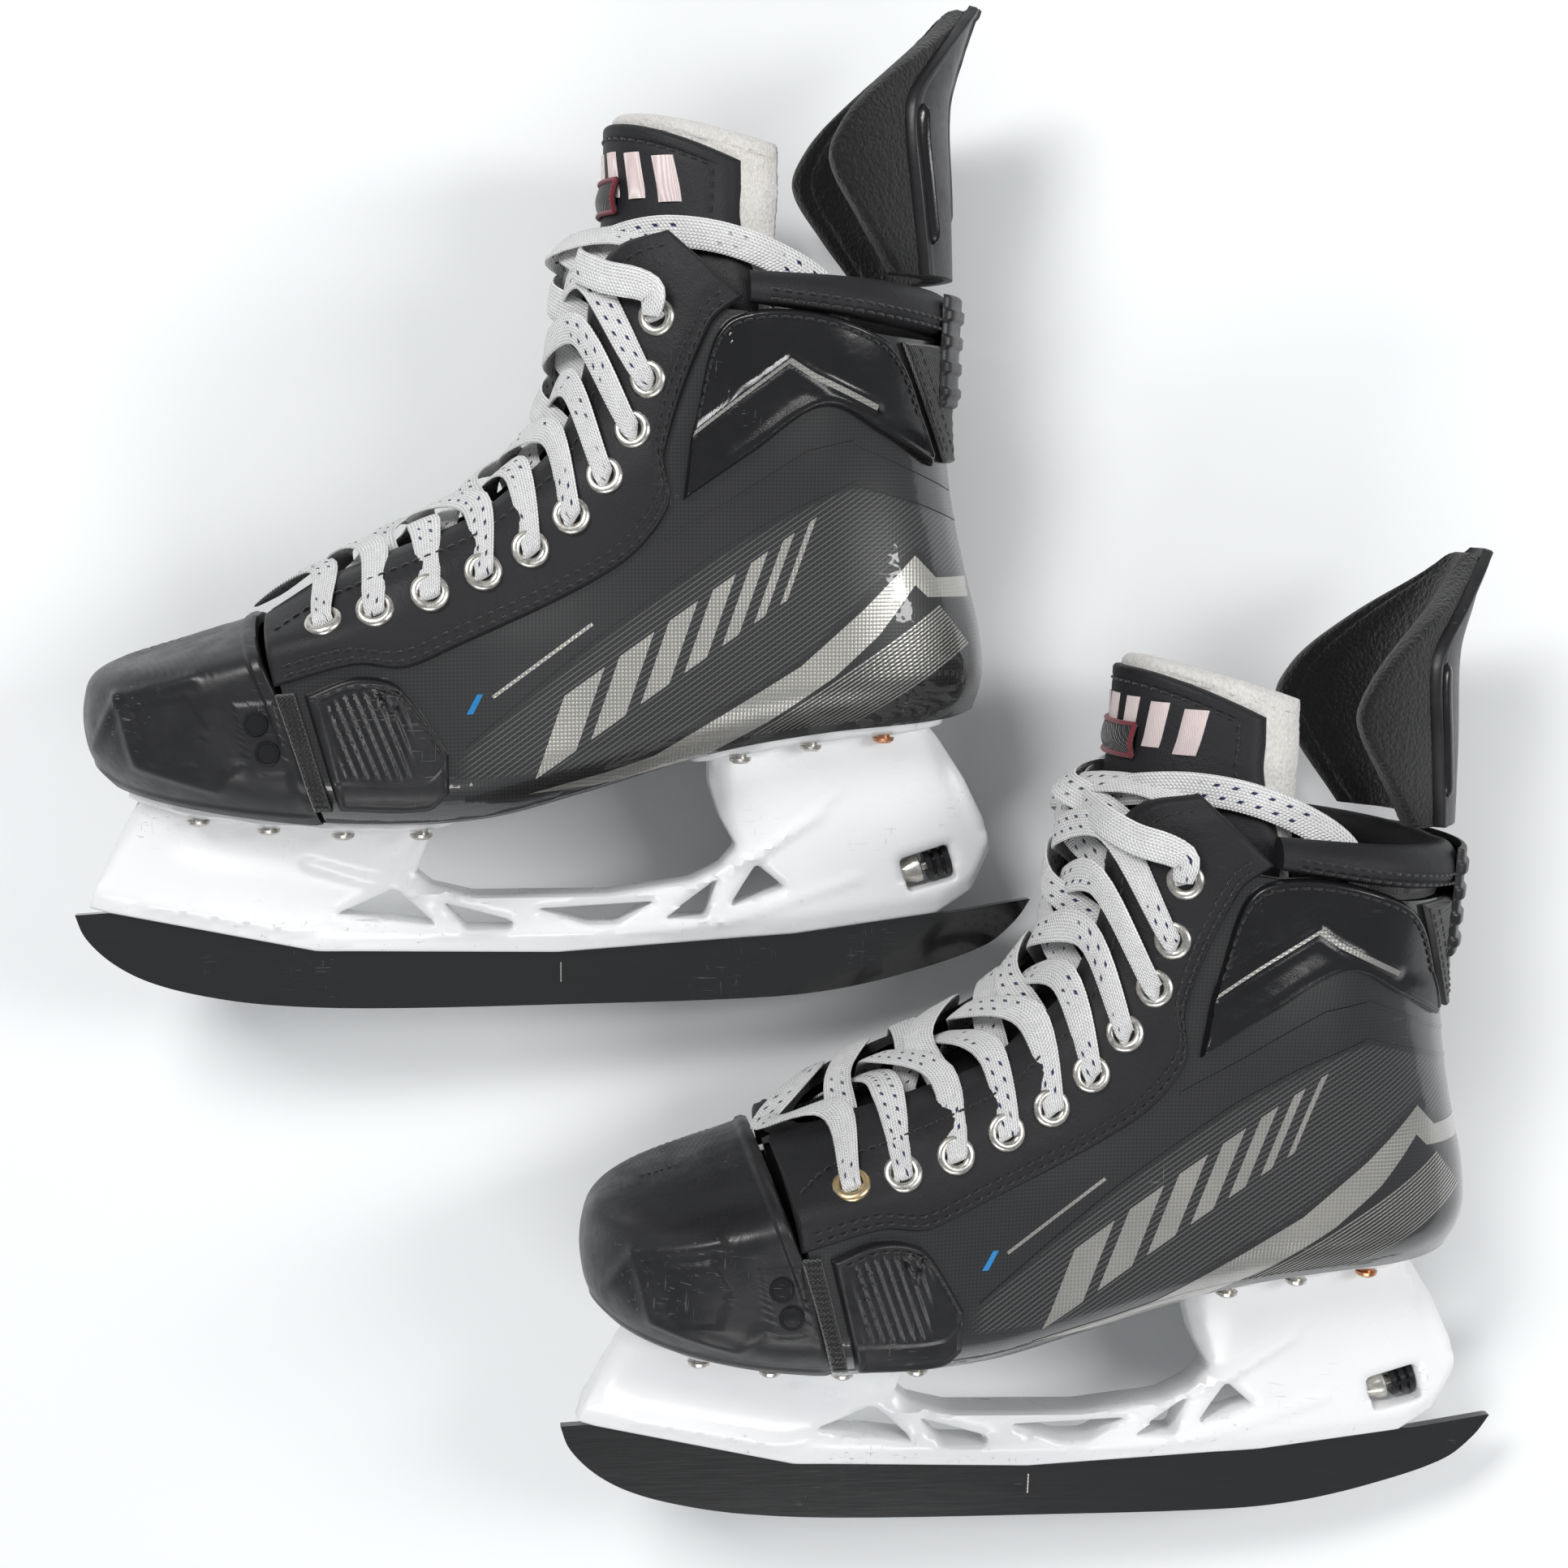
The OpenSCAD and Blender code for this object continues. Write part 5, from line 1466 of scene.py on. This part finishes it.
def holder_outline():
    under = [[x, float(sole(x)) - FLANGE_GAP - 1.2] for x in np.linspace(108, 43, 12)]
    under_front = [[x, float(sole(x)) - FLANGE_GAP - 1.2] for x in np.linspace(-38.5, -123, 14)]
    low = KEEL_LOW
    rear = [[127.5, 55], [121, 68], [113, 80]]
    inner = [[42.5, 68], [46, 57], [51, 48], [46, 42], [37, 37.8], [12, 34.6], [-28, 35],
             [-40, 38.2], [-44.5, 42], [-41, 51]]
    nose = [[-127, 60], [-132, 50], [-137.5, 38]]
    return np.array(low + rear + under + inner + under_front + nose, float)


RIDGES = [([[-76, 46], [-60, 40.5], [-45, 36.5], [-28, 34.2], [12, 33.6], [37, 36], [56, 45],
            [76, 58]], 1.5, 1.1),
          ([[-122, 34], [-80, 26], [-68, 28.6], [-51, 35.5], [-38, 34.5]], 1.3, 0.9),
          ([[-39, 24.5], [-20, 22.8], [20, 22.8], [46, 25], [70, 32], [88, 38]], 1.3, 0.8),
          ([[46, 40], [58, 46], [80, 64]], 1.2, 0.8)]


def holder_half(x, z, gap):
    rear = x > 0
    fh = flange_half(np.where(rear, 75.5, -81.0))
    low = keel(x) + 6.5
    t = clamp((z - low) / (sole(x) - 3.4 - low))
    front_of = np.where(rear, mix(56, 42, t), mix(-137, -124, t))
    back_of = np.where(rear, mix(127, 109, t), mix(-66, -38, t))
    mid = (front_of + back_of) / 2
    wide = (back_of - front_of) / 2
    lobe = np.sqrt(np.maximum(0, 1 - clamp(np.abs(x - mid) / np.maximum(wide, 1)) ** 4))
    spread = mix(KEEL_W / 2 + 0.3, 0.62 * fh, t**2.2)
    tower = KEEL_W / 2 + (spread - KEEL_W / 2) * lobe
    between = (x > -38) & (x < 42)
    h = np.where(between, KEEL_W / 2, tower)
    flat = np.stack([x, z], 1)
    for line, width, height in RIDGES:
        h = h + height * np.exp(-((distance(flat, np.array(line, float), False) / width) ** 2))
    keel_taper = 2.2 * smooth((keel(x) + 7 - z) / 7)
    h = h - keel_taper
    radius = np.where(t > 0.1, 3.0, 1.2)
    return h - radius * (1 - rounded(gap, radius))


def make_holder():
    def slot_at(x, z):
        if not (TANG_FROM < x < TANG_TO and z < keel(x) + 0.4):
            return 0
        return max([TANG_H] + [top - z for a, b, top in HOOKS if a < x < b])

    def middle(x, z):
        return centre(x) * clamp((z - keel(x) - 6.5) / 30) ** 2
    loops = [closed_loop(holder_outline(), 2.0)]
    loops += [closed_loop(rounded_corners(w, 1.6), 0.9) for w in WINDOWS]
    loops += [closed_loop(rounded_corners(LOCK_WINDOW, 1.6), 0.9)]
    body = plate(loops, holder_half, 2.0, 1.2, slot_at, middle)
    flanges = []
    for x0, x1 in ((-128, -32), (36, 114)):
        x = np.linspace(x0, x1, 120)
        mid, span = (x0 + x1) / 2, (x1 - x0) / 2
        lobe = np.maximum(0, 1 - np.abs((x - mid) / span) ** 6) ** (1 / 3)
        tabs = 1 + 0.05 * np.cos((x - x0) * 2 * np.pi / 20.5)
        wide = flange_half(x) * lobe * tabs
        v = np.linspace(-1, 1, 17)[:, None]
        edge = rounded((1 - np.abs(v)) * 30, 1.5)
        y = centre(x) + v * wide
        under = sole(x) - FLANGE_GAP
        top, low = (np.stack(np.broadcast_arrays(x, y, z), -1)
                    for z in (under, under - FLANGE_T * (0.55 + 0.45 * edge)))
        flanges.append(slab(top, low))
    add("holder", join([body] + flanges), "nylon", ["holder"], sharp=50)


# ---- rivets, runner and lock -------------------------------------------------------------------
RIVETS_FRONT = (-106, -86, -65, -43)
RIVETS_REAR = (50, 71)
COPPER_X = 93
RUNNER_FRONT = [[-143.5, 30.5], [-141, 24], [-134, 16.5], [-124, 10.5], [-110, 6], [-90, 2.4],
                [-60, 0.4], [0, 0], [60, 0.5], [85, 2.8], [110, 8.5], [130, 15.5], [139, 23],
                [143.5, 29.5]]
LOCK_AT = (110, 0, 40.3)
LOCK_AXIS = (math.cos(math.radians(17)), 0, math.sin(math.radians(17)))


def make_rivets():
    head = lathe([[0.01, -6.0], [2.2, -5.9], [3.1, -5.2], [3.3, -4.3], [2.0, -4.2], [2.0, 2.7],
                  [0.01, 2.7]], 28)
    at = lambda x, side: (x, centre(x) + side * 0.8 * flange_half(x), sole(x))
    steel = [stand(head, at(x, side), (0, 0, 1)) for x in RIVETS_FRONT + RIVETS_REAR
             for side in BOTH]
    add("rivets", join(steel), "nickel", ["rivets"])
    add("copper_rivets", join([stand(head, at(COPPER_X, side), (0, 0, 1)) for side in BOTH]),
        "copper")


def make_runner():
    share = np.linspace(0, 1, 160)
    edge = along(curve(RUNNER_FRONT), share)
    upper = [[118, 25.5], [112, keel(112) - 0.2], [69, keel(69) - 0.2], [-3, keel(-3) - 0.2],
             [-74, keel(-74) - 0.2], [-124, keel(-124) - 0.2], [-134, 31]]
    loop = closed_loop(np.concatenate([edge, np.array(upper, float)]), 1.6)
    blade = plate([loop], lambda x, z, gap: 1.5 + 0 * gap, 5.0, 0.35)
    tang = [[-124, keel(-124) - 0.4], [-124, keel(-124) + 4]]
    for a, b, top in HOOKS:
        tang += [[a, keel(a) + 5], [a, top], [b, top], [b, keel(b) + 5]]
        if a < 0:
            tang += [[x, keel(x) + 5] for x in (-74, -3, 69)]
    tang += [[112, keel(112) + 4], [112, keel(112) - 0.4]]
    tang += [[x, keel(x) - 0.4] for x in (69, -3, -74)]
    inner = plate([closed_loop(tang, 2.5)], lambda x, z, gap: 1.3 + 0 * gap, 6.0, 0.3)
    add("runner", join([blade, inner]), "steel", ["runner"], body="runner")
    tick = [[x, y, z] for x in (-2.2, -1.8) for y in (0, 1) for z in (7, 13)]
    marks = []
    for side in BOTH:
        p = np.array([[x, side * (1.45 + 0.08 * y), z] for x, y, z in tick])
        marks.append(Shape(p, [(0, 1, 3, 2), (4, 6, 7, 5), (0, 4, 5, 1), (2, 3, 7, 6),
                               (0, 2, 6, 4), (1, 5, 7, 3)]))
    add("centre_ticks", join(marks), "foil", body="runner")


def make_lock():
    on_lock = lambda profile, turn=48: stand(lathe(profile, turn), LOCK_AT, LOCK_AXIS)
    rings = []
    for start, stop in ((0, 2.2), (2.8, 5.0), (5.6, 7.6)):
        rings += [[3.4, start], [4.3, start + 0.05], [4.7, start + 0.45], [4.7, stop - 0.45],
                  [4.3, stop - 0.05], [3.4, stop]]
    add("lock_dial", on_lock([[1.9, 0]] + rings + [[1.9, 7.6]]), "gloss",
        ["lock_dial"], body="dial")
    add("lock_bolt", on_lock([[0.01, -12.4], [2.4, -12.4], [3, -11.8], [3, -7.4], [4.4, -3.6],
                              [4.4, -1.9], [4.1, -1.6], [1.6, -1.6], [1.6, 4.4], [0.01, 4.4]]),
        "nickel", ["lock_bolt"], body="bolt")
    add("lock_screw", on_lock([[0.01, 6.2], [1.6, 6.2], [1.6, 15.4], [3.1, 15.4], [3.1, 18.4],
                               [2.8, 18.8], [1.5, 18.8], [1.5, 17.2], [0.01, 17.2]]),
        "nickel", ["lock_screw"])


def make_floor():
    size = 3.0
    mesh = bpy.data.meshes.new("floor")
    mesh.from_pydata([(-size, -size, -0.0003), (size, -size, -0.0003), (size, size, -0.0003),
                      (-size, size, -0.0003)], [], [(0, 1, 2, 3)])
    mesh.materials.append(floor_finish())
    floor = bpy.data.objects.new("floor", mesh)
    bpy.context.collection.objects.link(floor)


# ---- the whole pair ----------------------------------------------------------------------------
make_camera()
make_laces()
make_lights()
make_floor()
make_shell()
make_sole()
make_marks()
make_eyestays()
make_toe_band()
make_overlays()
make_ankle_panels()
make_heel_panel()
make_collar()
make_toe_cap()
make_eyelets()
make_tongue()
make_loop()
make_guard()
make_guard_base()
make_holder()
make_rivets()
make_runner()
make_lock()
